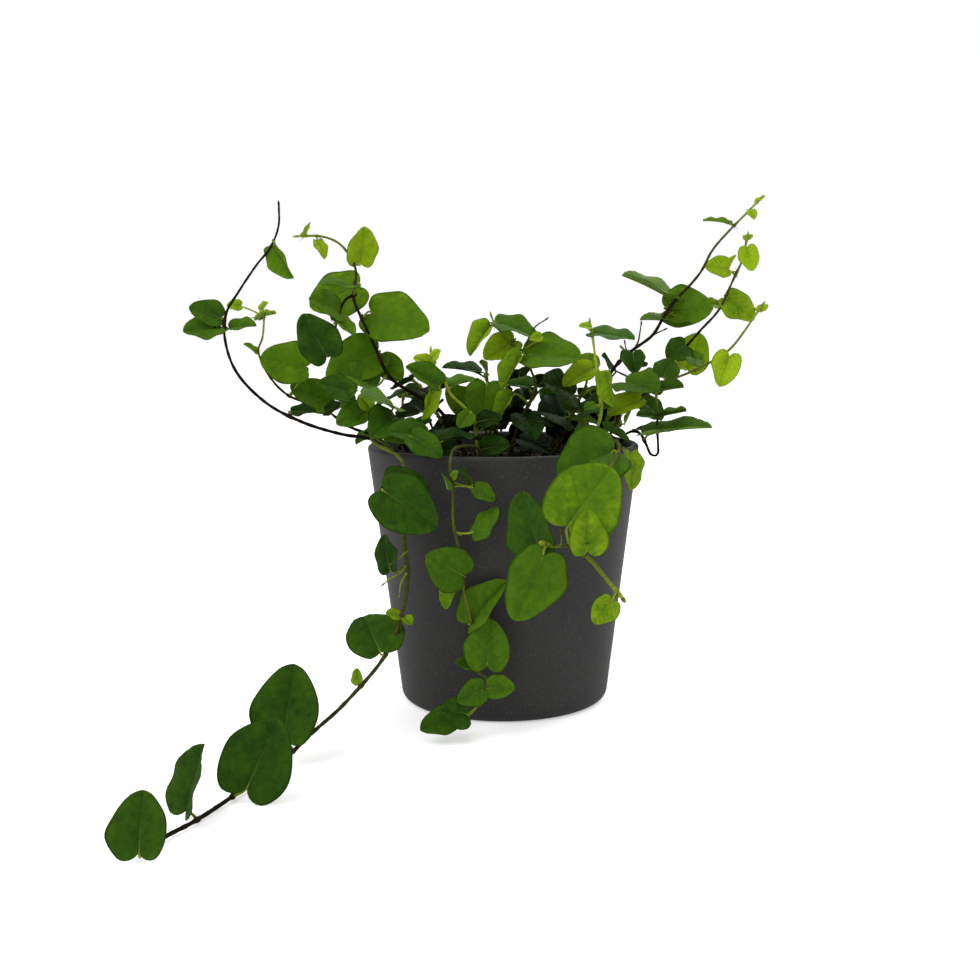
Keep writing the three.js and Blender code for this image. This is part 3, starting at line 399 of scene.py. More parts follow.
    Shoot(
        "stem_back_left", (-30, 28), (1, 0.6), Green.MIDDLE, Bark.OLIVE,
        route=(
            (-32, 31, 115), (-36, 36, 124), (-42, 42, 131), (-47, 50, 132), (-49, 59, 127), (-49, 66, 117),
            (-47, 69, 104), (-45, 68, 91), (-43, 67, 78), (-42, 66, 66),
        ),
        grown=(20, 14, 14, 24),
    ),
    Shoot(
        "stem_back_mid", (-4, 38), (1.1, 0.6), Green.DEEP, Bark.OLIVE,
        route=(
            (-4, 42, 115), (-3, 50, 120), (-2, 59, 120), (-1, 66, 114), (-1, 68, 102), (-3, 66, 89),
            (-4, 64, 76), (-3, 62, 63), (-1, 60, 50), (1, 59, 38), (2, 60, 26), (4, 64, 15),
        ),
        grown=(22, 14, 13, 24),
    ),
    Shoot(
        "stem_back_right", (20, 40), (1, 0.6), Green.MIDDLE, Bark.OLIVE,
        route=(
            (22, 43, 115), (27, 48, 122), (33, 55, 125), (39, 62, 121), (42, 67, 112), (43, 68, 100),
            (42, 66, 88), (40, 64, 77),
        ),
        grown=(20, 10, 14, 23),
    ),
    Shoot(
        "stem_back_up", (4, 30), (1, 0.6), Green.MIDDLE, Bark.OLIVE,
        route=(
            (6, 33, 116), (11, 38, 126), (17, 43, 134), (25, 48, 139),
        ),
        grown=(19, 9, 15, 22),
    ),
)


@dataclass(frozen=True)
class PotSizes:
    """The pot's and the soil's sizes in the part's source, in millimetres."""

    rim_radius: float = 60
    base_radius: float = 46
    height: float = 114
    wall: float = 3.6
    floor: float = 6
    foot_round: float = 4
    lip_round: float = 1.6
    gap: float = 0.3
    soil_top: float = 104
    soil_bump: float = 0.9

    def outer(self, z: float | np.ndarray) -> float | np.ndarray:
        """The outer wall's radius at a height."""
        return self.base_radius + (self.rim_radius - self.base_radius) * z / self.height

    def inner(self, z: float | np.ndarray) -> float | np.ndarray:
        """The inner wall's radius at a height."""
        return self.outer(z) - self.wall


# The part's source has the same values. Lengths are in millimetres, and the others are shares or powers.
POT = PotSizes()
ROOT_END = 91.5
ROOT_TOP = 98
COLLAR = 108
STEM_STEP = 12
SAMPLE = 1.5
PETIOLE_RADIUS = 0.62
LONG_PETIOLE = 7
BEND_BEHIND = 1.6
BEND_ASIDE = 0.9
BRANCH_RADIUS = 0.75
LEAF_HALF_WIDTH = 0.47
NARROWEST = 0.96
WIDTH_SPREAD = 0.12
DROOP = 0.1
DROOP_SPREAD = 0.08
RIPPLE = 0.045
RIPPLE_MOST = 0.9
LOBE_REACH = 0.62
LOBE_POWER = 6
TIP_POWER = 1.15
TIP_TAPER = 0.3
CLEAR_BLADE = 1.6
CLEAR_STEM = 1.1
CLEAR_POT = 1.5
CLEAR_SOIL = 2.5
CLEAR_FLOOR = 1.2
OUTLINE_MARGIN = 1.2


def unit(vector: np.ndarray) -> np.ndarray:
    """The same direction with length one."""
    return vector / np.linalg.norm(vector)


def turned(vector: np.ndarray, axis: np.ndarray, degrees: float) -> np.ndarray:
    """Turns a vector about an axis.

    Args:
        vector: What is turned.
        axis: The axis, of length one.
        degrees: The angle, counterclockwise when the axis points at the viewer.

    Returns:
        The turned vector.
    """
    c, s = math.cos(math.radians(degrees)), math.sin(math.radians(degrees))
    return vector * c + np.cross(axis, vector) * s + axis * (axis @ vector) * (1 - c)


class Draw:
    """Repeatable random numbers, the same ones as in the part's source."""

    FACTOR = 16807
    MODULUS = 2147483647

    def __init__(self, seed: int) -> None:
        """Starts the row of numbers at a seed."""
        self.state = seed

    def next(self) -> float:
        """The next number between 0 and 1."""
        self.state = (self.state * self.FACTOR) % self.MODULUS
        return self.state / self.MODULUS

    def between(self, low: float, high: float) -> float:
        """The next number between two bounds."""
        return low + (high - low) * self.next()


class SmoothLine:
    """A centripetal Catmull-Rom curve through points, walked by its length."""

    DIVISIONS = 200

    def __init__(self, points: Sequence[Sequence[float]]) -> None:
        """Measures the curve.

        Args:
            points: The points that it passes through.
        """
        self.points = np.array(points, float)
        self.grid = np.linspace(0, 1, self.DIVISIONS + 1)
        steps = np.linalg.norm(np.diff(self.at(self.grid), axis=0), axis=1)
        self.lengths = np.concatenate([[0.0], np.cumsum(steps)])

    @property
    def length(self) -> float:
        """The curve's length."""
        return float(self.lengths[-1])

    def at(self, share: np.ndarray) -> np.ndarray:
        """Points at shares of the curve's parameter.

        Args:
            share: Parameters from 0 to 1.

        Returns:
            One point for each parameter.
        """
        p = self.points
        last = len(p) - 1
        place = np.asarray(share, float) * last
        piece = np.minimum(np.floor(place).astype(int), last - 1)
        w = (place - piece)[:, None]
        padded = np.vstack([2 * p[0] - p[1], p, 2 * p[-1] - p[-2]])
        p0, p1, p2, p3 = (padded[piece + k] for k in range(4))
        d0, d1, d2 = (((b - a) ** 2).sum(1)[:, None] ** 0.25 for a, b in ((p0, p1), (p1, p2), (p2, p3)))
        start = ((p1 - p0) / d0 - (p2 - p0) / (d0 + d1) + (p2 - p1) / d1) * d1
        end = ((p2 - p1) / d1 - (p3 - p1) / (d1 + d2) + (p3 - p2) / d2) * d1
        square = -3 * p1 + 3 * p2 - 2 * start - end
        cube = 2 * p1 - 2 * p2 + start + end
        return p1 + start * w + square * w**2 + cube * w**3

    def spaced(self, steps: int) -> np.ndarray:
        """Points at equal lengths along the curve, its ends included."""
        wanted = np.arange(steps + 1) / steps * self.length
        return self.at(np.interp(wanted, self.lengths, self.grid))


def steps_along(line: SmoothLine, step: float) -> int:
    """How many steps of about this length a line takes."""
    return max(1, math.floor(line.length / step + 0.5))


def along_corners(corners: np.ndarray) -> np.ndarray:
    """Close points along the straight pieces between a line's corners.

    Args:
        corners: The line's corners.

    Returns:
        Points about SAMPLE apart, the corners included.
    """
    pieces = [corners[:1]]
    for start, end in zip(corners[:-1], corners[1:]):
        count = max(1, math.floor(np.linalg.norm(end - start) / SAMPLE + 0.5))
        pieces.append(start + (end - start) * (np.arange(1, count + 1) / count)[:, None])
    return np.vstack(pieces)


def axis_of(route: Sequence[Sequence[float]]) -> np.ndarray:
    """Close points on the axis of a stem's CAD tube, which is straight between its stations."""
    line = SmoothLine(route)
    return along_corners(line.spaced(steps_along(line, STEM_STEP)))


def nearest_on(axes: Sequence[np.ndarray], point: np.ndarray) -> np.ndarray:
    """The point of some stem axes that is nearest to a point, above the stems' collars.

    Args:
        axes: Close points along each axis.
        point: The point to reach.

    Returns:
        The nearest point of the axes.
    """
    found, least = axes[0][0], math.inf
    for axis in axes:
        above = np.flatnonzero(axis[:, 2] > COLLAR)
        kept = axis[above[0] if len(above) else 0 :]
        gaps = np.linalg.norm(kept - point, axis=1)
        if gaps.min() < least:
            found, least = kept[int(gaps.argmin())], float(gaps.min())
    return found


class Blade:
    """A leaf's blade in its own frame: along from base to tip, across to its right, up off its face."""

    def __init__(
        self,
        base: np.ndarray,
        along: np.ndarray,
        up: np.ndarray,
        length: float,
        fold: float,
        wave: float,
        tone: float,
    ) -> None:
        """Sets the blade's place and form.

        Args:
            base: The bottom of the notch, where the petiole joins.
            along: The direction from base to tip.
            up: The direction off the upper face.
            length: From base to tip.
            fold: How steeply the halves rise from the midrib, in degrees.
            wave: A number from 0 to 1 that makes each blade differ.
            tone: Its green, from -0.2, deep, to 1, young, with painted shade and painted light mixed in.
        """
        self.base, self.along, self.up = base, along, up
        self.across = np.cross(along, up)
        self.length, self.wave, self.tone = length, wave, tone
        width = NARROWEST + WIDTH_SPREAD * wave
        self.half = LEAF_HALF_WIDTH * length * width * math.cos(math.radians(fold))
        self.slope = math.tan(math.radians(fold))
        self.droop = DROOP + DROOP_SPREAD * math.sin(7 * wave)
        self.phase = 6.3 * wave
        self.ripple = min(RIPPLE * length, RIPPLE_MOST)

    @classmethod
    def from_row(cls, row: Row, wave: float) -> Blade:
        """Makes a blade from a leaf row.

        Args:
            row: Base point, heading, rise, roll, length, fold and tone.
            wave: The number that makes each blade differ.

        Returns:
            The blade.
        """
        x, y, z, heading, rise, roll, length, fold, tone = row
        h, r = math.radians(heading), math.radians(rise)
        along = np.array([math.cos(r) * math.cos(h), math.cos(r) * math.sin(h), math.sin(r)])
        flat = np.array([-math.sin(r) * math.cos(h), -math.sin(r) * math.sin(h), math.cos(r)])
        side = np.cross(along, flat)
        up = flat * math.cos(math.radians(roll)) + side * math.sin(math.radians(roll))
        return cls(np.array([x, y, z], float), along, up, length, fold, wave, tone)

    def height(self, a: np.ndarray, b: np.ndarray) -> np.ndarray:
        """Height of the blade's middle surface over its flat frame.

        Args:
            a: Places along the blade.
            b: Places across it.

        Returns:
            The height at each place.
        """
        t = a / self.length
        w = np.abs(b) / self.half
        waves = self.ripple * w * w * np.sin(9.5 * t + self.phase + np.where(b < 0, 1.9, 0.0))
        return self.slope * np.abs(b) * (1 - 0.25 * w) - self.droop * self.length * t * t + waves

    def margin(self, turn: np.ndarray, side: np.ndarray) -> tuple[np.ndarray, np.ndarray]:
        """Margin points by their turn round from the tip, 0, to the notch at the base, 180.

        Args:
            turn: Turns in degrees.
            side: 1 for the right half and -1 for the left.

        Returns:
            Places along and across the blade.
        """
        c, s = np.cos(np.radians(turn)), np.abs(np.sin(np.radians(turn)))
        lobe = LOBE_REACH * s * ((1 - c) / 2) ** LOBE_POWER
        width = self.half * s ** (TIP_POWER - (TIP_POWER - 1) * (turn / 180)) * (0.96 - TIP_TAPER * c)
        skew = 1 + 0.06 * side * math.sin(self.phase)
        return self.length * (0.5 * (1 + c) - lobe), side * skew * width

    def world(self, a: np.ndarray, b: np.ndarray, lift: float | np.ndarray = 0.0) -> np.ndarray:
        """Points of the blade's surface in the room.

        Args:
            a: Places along the blade.
            b: Places across it.
            lift: Heights over the middle surface.

        Returns:
            One point for each place.
        """
        a, b = np.broadcast_arrays(np.asarray(a, float), np.asarray(b, float))
        up = (self.height(a, b) + lift)[..., None] * self.up
        return self.base + a[..., None] * self.along + b[..., None] * self.across + up

    def half_width(self, a: np.ndarray) -> np.ndarray:
        """About half the blade's width at places along it."""
        t = np.clip(a / self.length, 0, 1)
        return self.half * np.minimum(1, 1.38 * np.sqrt(1 - t))

    def gap(self, points: np.ndarray) -> np.ndarray:
        """Signed distances of points off the blade.

        Args:
            points: Points in the room.

        Returns:
            Their distances, not a number outside the blade's outline.
        """
        away = points - self.base
        a, b, c = away @ self.along, away @ self.across, away @ self.up
        inside = (a >= -0.16 * self.length - OUTLINE_MARGIN) & (a <= self.length + OUTLINE_MARGIN)
        inside &= np.abs(b) <= self.half_width(a) + OUTLINE_MARGIN
        return np.where(inside, (c - self.height(a, b)) / math.hypot(1, self.slope), np.nan)


def petiole_corners(start: np.ndarray, blade: Blade) -> np.ndarray:
    """Corners of a petiole from the blade's notch back to the stem.

    It leaves the notch behind the blade, and a long one sags or lifts halfway.

    Args:
        start: Where it leaves the stem.
        blade: The blade that it carries.

    Returns:
        Two or three points, the blade's base first.
    """
    reach = start - blade.base
    length = np.linalg.norm(reach)
    corners = [blade.base]
    if reach @ blade.along > -0.5 * length:
        under = -1 if reach @ blade.up < 0 else 1
        corners.append(blade.base - BEND_BEHIND * blade.along + BEND_ASIDE * under * blade.up)
    elif length > LONG_PETIOLE:
        corners.append(blade.base + 0.45 * reach - 0.1 * length * blade.along)
    return np.array([*corners, start])


@dataclass
class Lines:
    """Points of several lines, with a mark on the first point of each line."""

    points: np.ndarray
    first: np.ndarray

    @classmethod
    def of(cls, lines: Sequence[np.ndarray]) -> Lines:
        """Joins lines into one run of points."""
        first = np.concatenate([np.arange(len(line)) == 0 for line in lines])
        return cls(np.vstack(lines), first)

    def cross(self, blade: Blade, clear: float) -> bool:
        """Whether a line comes nearer to the blade than clear, or passes through it.

        Args:
            blade: The blade.
            clear: The distance to keep.

        Returns:
            True where one does.
        """
        gap = blade.gap(self.points)
        through = (gap[1:] * gap[:-1] < 0) & ~self.first[1:]
        return bool((np.abs(gap) < clear).any() or through.any())


def blade_probes(blade: Blade) -> Lines:
    """Points over a blade for the clearance test: its margin, four ribs across it and its midrib.

    Args:
        blade: The blade to probe.

    Returns:
        The lines of points.
    """
    turns = np.arange(0, 360, 12)
    right = turns <= 180
    edge = blade.world(*blade.margin(np.where(right, turns, 360 - turns), np.where(right, 1, -1)))
    lines = [np.vstack([edge, edge[:1]])]
    for turn in (40, 75, 105, 140):
        a, b = blade.margin(np.array(turn), np.array(1))
        lines.append(blade.world(a, b * np.arange(-4, 5) / 4))
    lines.append(blade.world(blade.length * np.arange(9) / 8, 0.0))
    return Lines.of(lines)


@dataclass
class Room:
    """What already stands in the room: blades with their probes, and stems with their radii."""

    blades: list[tuple[Blade, Lines]] = field(default_factory=list)
    stems: list[tuple[np.ndarray, float, str]] = field(default_factory=list)

    def free_of_walls(self, points: np.ndarray) -> bool:
        """Whether points stay clear of the ground, the pot and the soil.

        Args:
            points: Points in the room.

        Returns:
            True where all of them are clear.
        """
        r, z = np.hypot(points[:, 0], points[:, 1]), points[:, 2]
        outside = (z > POT.height + CLEAR_POT) | (r > POT.outer(z) + CLEAR_POT)
        inside = (z > POT.soil_top + CLEAR_SOIL) & (r < POT.inner(z) - CLEAR_POT)
        return bool(((z >= CLEAR_FLOOR) & (outside | inside)).all())

    def fits(self, blade: Blade, probes: Lines, petiole: Lines, owner: str) -> bool:
        """Whether a leaf clears all that stands in the room.

        Args:
            blade: The leaf's blade.
            probes: The blade's probe lines.
            petiole: The petiole's line.
            owner: The leaf's own stem, which it may touch.

        Returns:
            True where it fits.
        """
        if not (self.free_of_walls(probes.points) and self.free_of_walls(petiole.points)):
            return False
        for other, lines in self.blades:
            reach = 1.1 * (blade.length + other.length) + 8
            if np.linalg.norm(other.base - blade.base) >= reach:
                continue
            if lines.cross(blade, CLEAR_BLADE) or probes.cross(other, CLEAR_BLADE):
                return False
            if petiole.cross(other, CLEAR_STEM + PETIOLE_RADIUS):
                return False
        return not any(self.stem_hits(stem, blade, petiole, owner) for stem in self.stems)

    def stem_hits(
        self, stem: tuple[np.ndarray, float, str], blade: Blade, petiole: Lines, owner: str
    ) -> bool:
        """Whether a stem of another shoot is in a leaf's way.

        Args:
            stem: The stem's points, radius and owner.
            blade: The leaf's blade.
            petiole: The petiole's line.
            owner: The leaf's own stem.

        Returns:
            True where they meet.
        """
        points, radius, whose = stem
        if whose == owner:
            return False
        close = points[np.linalg.norm(points - blade.base, axis=1) < 1.3 * blade.length + 12]
        if not len(close):
            return False
        if Lines(close, np.arange(len(close)) == 0).cross(blade, CLEAR_STEM + radius):
            return True
        apart = np.linalg.norm(close[:, None] - petiole.points[None], axis=2)
        return bool((apart < radius + PETIOLE_RADIUS + 0.8).any())


@dataclass
class Leaf:
    """A blade and the point of the stem's axis where its petiole starts."""

    blade: Blade
    start: np.ndarray

    @property
    def petiole(self) -> np.ndarray:
        """Corners of the petiole, the blade's base first."""
        return petiole_corners(self.start, self.blade)


class Growth:
    """A shoot's routes and leaves, as the part's source lays them out."""

    SEED = 4096
    SEED_STEP = 97
    SWINGS = (0, 20, -20, 40, -40, 60, -60)
    SHRINKS = (1, 0.8, 0.6)
    # Grown leaves near the plant's middle get painted shade: their tone is lowered, most within 25 mm of
    # the axis and not at all past 55 mm.
    INNER_RADIUS = 55
    INNER_DEPTH = 30
    INNER_PAINTED_SHADE = 0.3

    def __init__(self, shoot: Shoot, number: int, room: Room) -> None:
        """Lays the stems and the leaves that have rows.

        Args:
            shoot: The shoot.
            number: Its place in the list, which seeds its draws.
            room: What stands in the room, to which it adds itself.
        """
        self.shoot, self.room = shoot, room
        self.draw = Draw(self.SEED + self.SEED_STEP * number)
        x, y = shoot.hole
        root = [(x, y, z) for z in (ROOT_END, ROOT_TOP, POT.soil_top + 0.5, COLLAR)]
        main = [*root, *shoot.route]
        self.routes = [np.array(main, float)]
        for first, *rest in shoot.branches:
            fork = nearest_on([axis_of(main)], np.array(first, float))
            self.routes.append(np.array([fork, *rest], float))
        self.axes = [axis_of(route) for route in self.routes]
        self.leaves: list[Leaf] = []
        for axis in self.axes:
            room.stems.append((axis, shoot.radius[0], shoot.name))
        for row in shoot.leaves:
            blade = Blade.from_row(row, self.draw.next())
            self.add(Leaf(blade, nearest_on(self.axes, blade.base)), blade_probes(blade))

    def add(self, leaf: Leaf, probes: Lines) -> None:
        """Takes a leaf on and puts it into the room.

        Args:
            leaf: The leaf.
            probes: Its blade's probe lines.
        """
        self.leaves.append(leaf)
        self.room.blades.append((leaf.blade, probes))
        self.room.stems.append((along_corners(leaf.petiole), PETIOLE_RADIUS, self.shoot.name))

    def grow(self) -> None:
        """Sets leaves by rule on alternate sides of the stem.

        Each is swung or shrunk until it clears what stands there, or else left out.
        """
        start, step, short, long, *rest = self.shoot.grown
        axis = self.axes[0]
        last = min(len(axis) - 1, (rest[0] if rest else math.inf) / SAMPLE)
        side, s = 1, start / SAMPLE
        while s < last:
            i = math.floor(s)
            s += step / SAMPLE
            heading = unit(axis[min(i + 2, len(axis) - 1)] - axis[i - 2])
            wave = self.draw.next()
            size = self.draw.between(short, long) * (0.75 + 0.25 * (1 - i / len(axis)))
            tilt, reach = self.draw.between(-14, 14), self.draw.between(4, 7)
            side = -side
            for shrink, swing in ((k, w) for k in self.SHRINKS for w in self.SWINGS):
                blade = self.grown_blade(axis[i], heading, side, (size * shrink, swing, tilt, reach, wave))
                leaf = Leaf(blade, axis[i])
                probes = blade_probes(blade)
                petiole = Lines.of([along_corners(leaf.petiole)])
                if self.room.fits(blade, probes, petiole, self.shoot.name):
                    self.add(leaf, probes)
                    break

    def grown_blade(self, node: np.ndarray, heading: np.ndarray, side: int, form: Row) -> Blade:
        """Lays out a blade that grows by rule, its face turned up and outward.

        Args:
            node: Where its petiole leaves the stem.
            heading: The stem's direction there.
            side: 1 or -1, the side of the stem.
            form: The blade's length, swing, tilt, the petiole's reach, and the blade's wave.

        Returns:
            The blade.
        """
        length, swing, tilt, reach, wave = form
        bearing = math.hypot(node[0], node[1])
        out = np.array([node[0], node[1], 0]) / bearing
        lean = 0.85 if heading[2] < 0 else 0.2 + 0.4 * bearing / POT.rim_radius
        face = out * lean + np.array([0, 0, 1 - lean * 0.6])
        face = unit(face - 0.5 * (face @ heading) * heading)
        along = 0.85 * side * unit(np.cross(heading, face)) + 0.4 * heading - np.array([0, 0, 0.2])
        along = turned(unit(along - (along @ face) * face), face, swing)
        up = turned(face, along, tilt)
        base = node + 0.6 * reach * along + 0.75 * reach * up
        _, low, high = self.shoot.green.value
        # Painted shade: the tone drops for blades that sit inside the plant, near its axis.
        inner = float(np.clip((self.INNER_RADIUS - math.hypot(base[0], base[1])) / self.INNER_DEPTH, 0, 1))
        tone = low + (high - low) * wave - self.INNER_PAINTED_SHADE * inner
        return Blade(base, along, up, length, 10 + 14 * wave, wave, tone)


def plan_growth() -> list[Growth]:
    """Lays out every shoot, and then lets those with a growth rule grow into what room is left.

    Returns:
        The shoots' growths, in their order.
    """
    room = Room()
    plans = [Growth(shoot, number, room) for number, shoot in enumerate(SHOOTS)]
    for plan in plans:
        if plan.shoot.grown:
            plan.grow()
    return plans


# The side veins of half a leaf, in shares of its length, and how far a tube's pointed ends reach out.
VEINS = 5.0
VEIN_LEAN = 0.42
VEIN_START = 0.15
VEIN_HALF_WIDTH = 0.46
END_REACH = 0.02


class Value:
    """A number that a socket gives, with Python's operators for its Math nodes."""

    def __init__(self, graph: Graph, socket: bpy.types.NodeSocket) -> None:
        """Wraps a socket of a graph."""
        self.graph, self.socket = graph, socket

    def math(self, operation: str, *others: Value | float, first: float | None = None) -> Value:
        """Adds a Math node.

        Args:
            operation: The node's operation.
            others: Its further inputs.
            first: A number that comes before this value.

        Returns:
            The node's value.
        """
        inputs = [self, *others] if first is None else [first, self, *others]
        return self.graph.value("ShaderNodeMath", {"operation": operation}, dict(enumerate(inputs)))

    def __add__(self, other: Value | float) -> Value:
        """This value plus another."""
        return self.math("ADD", other)

    __radd__ = __add__

    def __sub__(self, other: Value | float) -> Value:
        """This value less another."""
        return self.math("SUBTRACT", other)

    def __rsub__(self, other: float) -> Value:
        """A number less this value."""
        return self.math("SUBTRACT", first=other)

    def __mul__(self, other: Value | float) -> Value:
        """This value times another."""
        return self.math("MULTIPLY", other)

    __rmul__ = __mul__

    def __truediv__(self, other: Value | float) -> Value:
        """This value over another."""
        return self.math("DIVIDE", other)

    def __rtruediv__(self, other: float) -> Value:
        """A number over this value."""
        return self.math("DIVIDE", first=other)

    def __abs__(self) -> Value:
        """This value without its sign."""
        return self.math("ABSOLUTE")

    def below(self, edge: float) -> Value:
        """1 where this value is under an edge, and 0 elsewhere."""
        return self.math("LESS_THAN", edge)

    def near_whole(self) -> Value:
        """How far this value is from a whole number, from 0 to 1 midway between two."""
        return self.math("PINGPONG", 0.5) * 2.0

    def smooth(self, low: float, high: float) -> Value:
        """Rises softly from 0 to 1, or falls where low is the higher.

        Args:
            low: Where the result is 0.
            high: Where it is 1.

        Returns:
            The softened value.
        """
        flip = low > high
        ends = {1: high, 2: low, 3: 1.0, 4: 0.0} if flip else {1: low, 2: high, 3: 0.0, 4: 1.0}
        return self.graph.value(
            "ShaderNodeMapRange", {"interpolation_type": "SMOOTHSTEP"}, {0: self, **ends}
        )


class Graph:
    """The node tree of one material."""

    def __init__(self, name: str) -> None:
        """Makes an empty material.

        Args:
            name: The material's name.
        """
        self.material = bpy.data.materials.new(name)
        self.material.use_nodes = True
        self.tree = self.material.node_tree
        self.tree.nodes.clear()

    def node(self, kind: str, settings: dict, sockets: dict) -> bpy.types.Node:
        """Adds a node.

        Args:
            kind: The node's type.
            settings: Its own settings, such as an operation, or stops for a ramp's colours.
            sockets: For each input's name or number, a value, a link or a number.

        Returns:
            The node.
        """
        made = self.tree.nodes.new(kind)
        for name, setting in settings.items():
            if name == "stops":
                self.set_stops(made.color_ramp, setting)
            else:
                setattr(made, name, setting)
        for key, content in sockets.items():
            if isinstance(content, (Value, bpy.types.NodeSocket)):
                link = content.socket if isinstance(content, Value) else content
                self.tree.links.new(link, made.inputs[key])
            else:
                made.inputs[key].default_value = content
        return made

    @staticmethod
    def set_stops(ramp: bpy.types.ColorRamp, stops: Sequence[tuple[float, Colour]]) -> None:
        """Puts colours at places along a ramp.

        Args:
            ramp: The ramp.
            stops: The places, from 0 to 1, with their colours.
        """
        while len(ramp.elements) < len(stops):
            ramp.elements.new(1.0)
        for element, (place, colour) in zip(ramp.elements, stops):
            element.position = place
            element.color = (*colour, 1.0)

    def value(self, kind: str, settings: dict, sockets: dict, output: int | str = 0) -> Value:
        """Adds a node and gives one of its outputs as a number."""
        return Value(self, self.node(kind, settings, sockets).outputs[output])

    def attribute(self, name: str) -> tuple[Value, Value, Value]:
        """The three numbers of a mesh attribute.

        Args:
            name: The attribute's name.

        Returns:
            The numbers.
        """
        read = self.node("ShaderNodeAttribute", {"attribute_name": name}, {})
        split = self.node("ShaderNodeSeparateXYZ", {}, {0: read.outputs["Vector"]})
        return tuple(Value(self, output) for output in split.outputs)

    def vector(self, x: Value | float, y: Value | float, z: Value | float) -> bpy.types.NodeSocket:
        """A vector of three numbers."""
        return self.node("ShaderNodeCombineXYZ", {}, {0: x, 1: y, 2: z}).outputs[0]

    def position(self) -> bpy.types.NodeSocket:
        """Places in the row frame, in metres."""
        return self.node("ShaderNodeTexCoord", {}, {}).outputs["Object"]

    def noise(self, place: bpy.types.NodeSocket, scale: float, detail: float) -> Value:
        """Soft noise from 0 to 1."""
        sockets = {"Vector": place, "Scale": scale, "Detail": detail, "Roughness": 0.55}
        return self.value("ShaderNodeTexNoise", {}, sockets, "Fac")

    def cells(self, place: bpy.types.NodeSocket, scale: float, feature: str = "F1") -> Value:
        """Distance to the nearest cell's middle, or to its edge."""
        settings = {"feature": feature}
        return self.value("ShaderNodeTexVoronoi", settings, {"Vector": place, "Scale": scale}, "Distance")

    def mix(
        self,
        first: bpy.types.NodeSocket | Colour,
        second: bpy.types.NodeSocket | Colour,
        share: Value | float,
    ) -> bpy.types.NodeSocket:
        """Mixes two colours.

        Args:
            first: The colour at share 0.
            second: The colour at share 1.
            share: How much of the second.

        Returns:
            The mixed colour.
        """
        ends = [(*c, 1.0) if isinstance(c, tuple) else c for c in (first, second)]
        settings = {"data_type": "RGBA", "blend_type": "MIX", "clamp_factor": True}
        return self.node("ShaderNodeMix", settings, {0: share, 6: ends[0], 7: ends[1]}).outputs[2]

    def ramp(self, share: Value, stops: Sequence[tuple[float, Colour]]) -> bpy.types.NodeSocket:
        """Colours along a ramp."""
        return self.node("ShaderNodeValToRGB", {"stops": stops}, {0: share}).outputs[0]

    def bump(self, height: Value, reach: float, strength: float = 1.0) -> bpy.types.NodeSocket:
        """Normals that show a height, in shares of reach, which is in metres."""
        sockets = {"Height": height, "Distance": reach, "Strength": strength}
        return self.node("ShaderNodeBump", {}, sockets).outputs[0]

    def surface(self, sockets: dict) -> bpy.types.NodeSocket:
        """A Principled shader."""
        return self.node("ShaderNodeBsdfPrincipled", {}, sockets).outputs[0]

    def finish(self, shader: bpy.types.NodeSocket) -> bpy.types.Material:
        """Ends the tree with a shader and gives its material."""
        self.node("ShaderNodeOutputMaterial", {}, {0: shader})
        return self.material


@dataclass(frozen=True)
class LeafAge:
    """A word for a leaf's age, the tone below which it holds, and the light that comes through."""

    word: str
    below: float
    glow: Colour


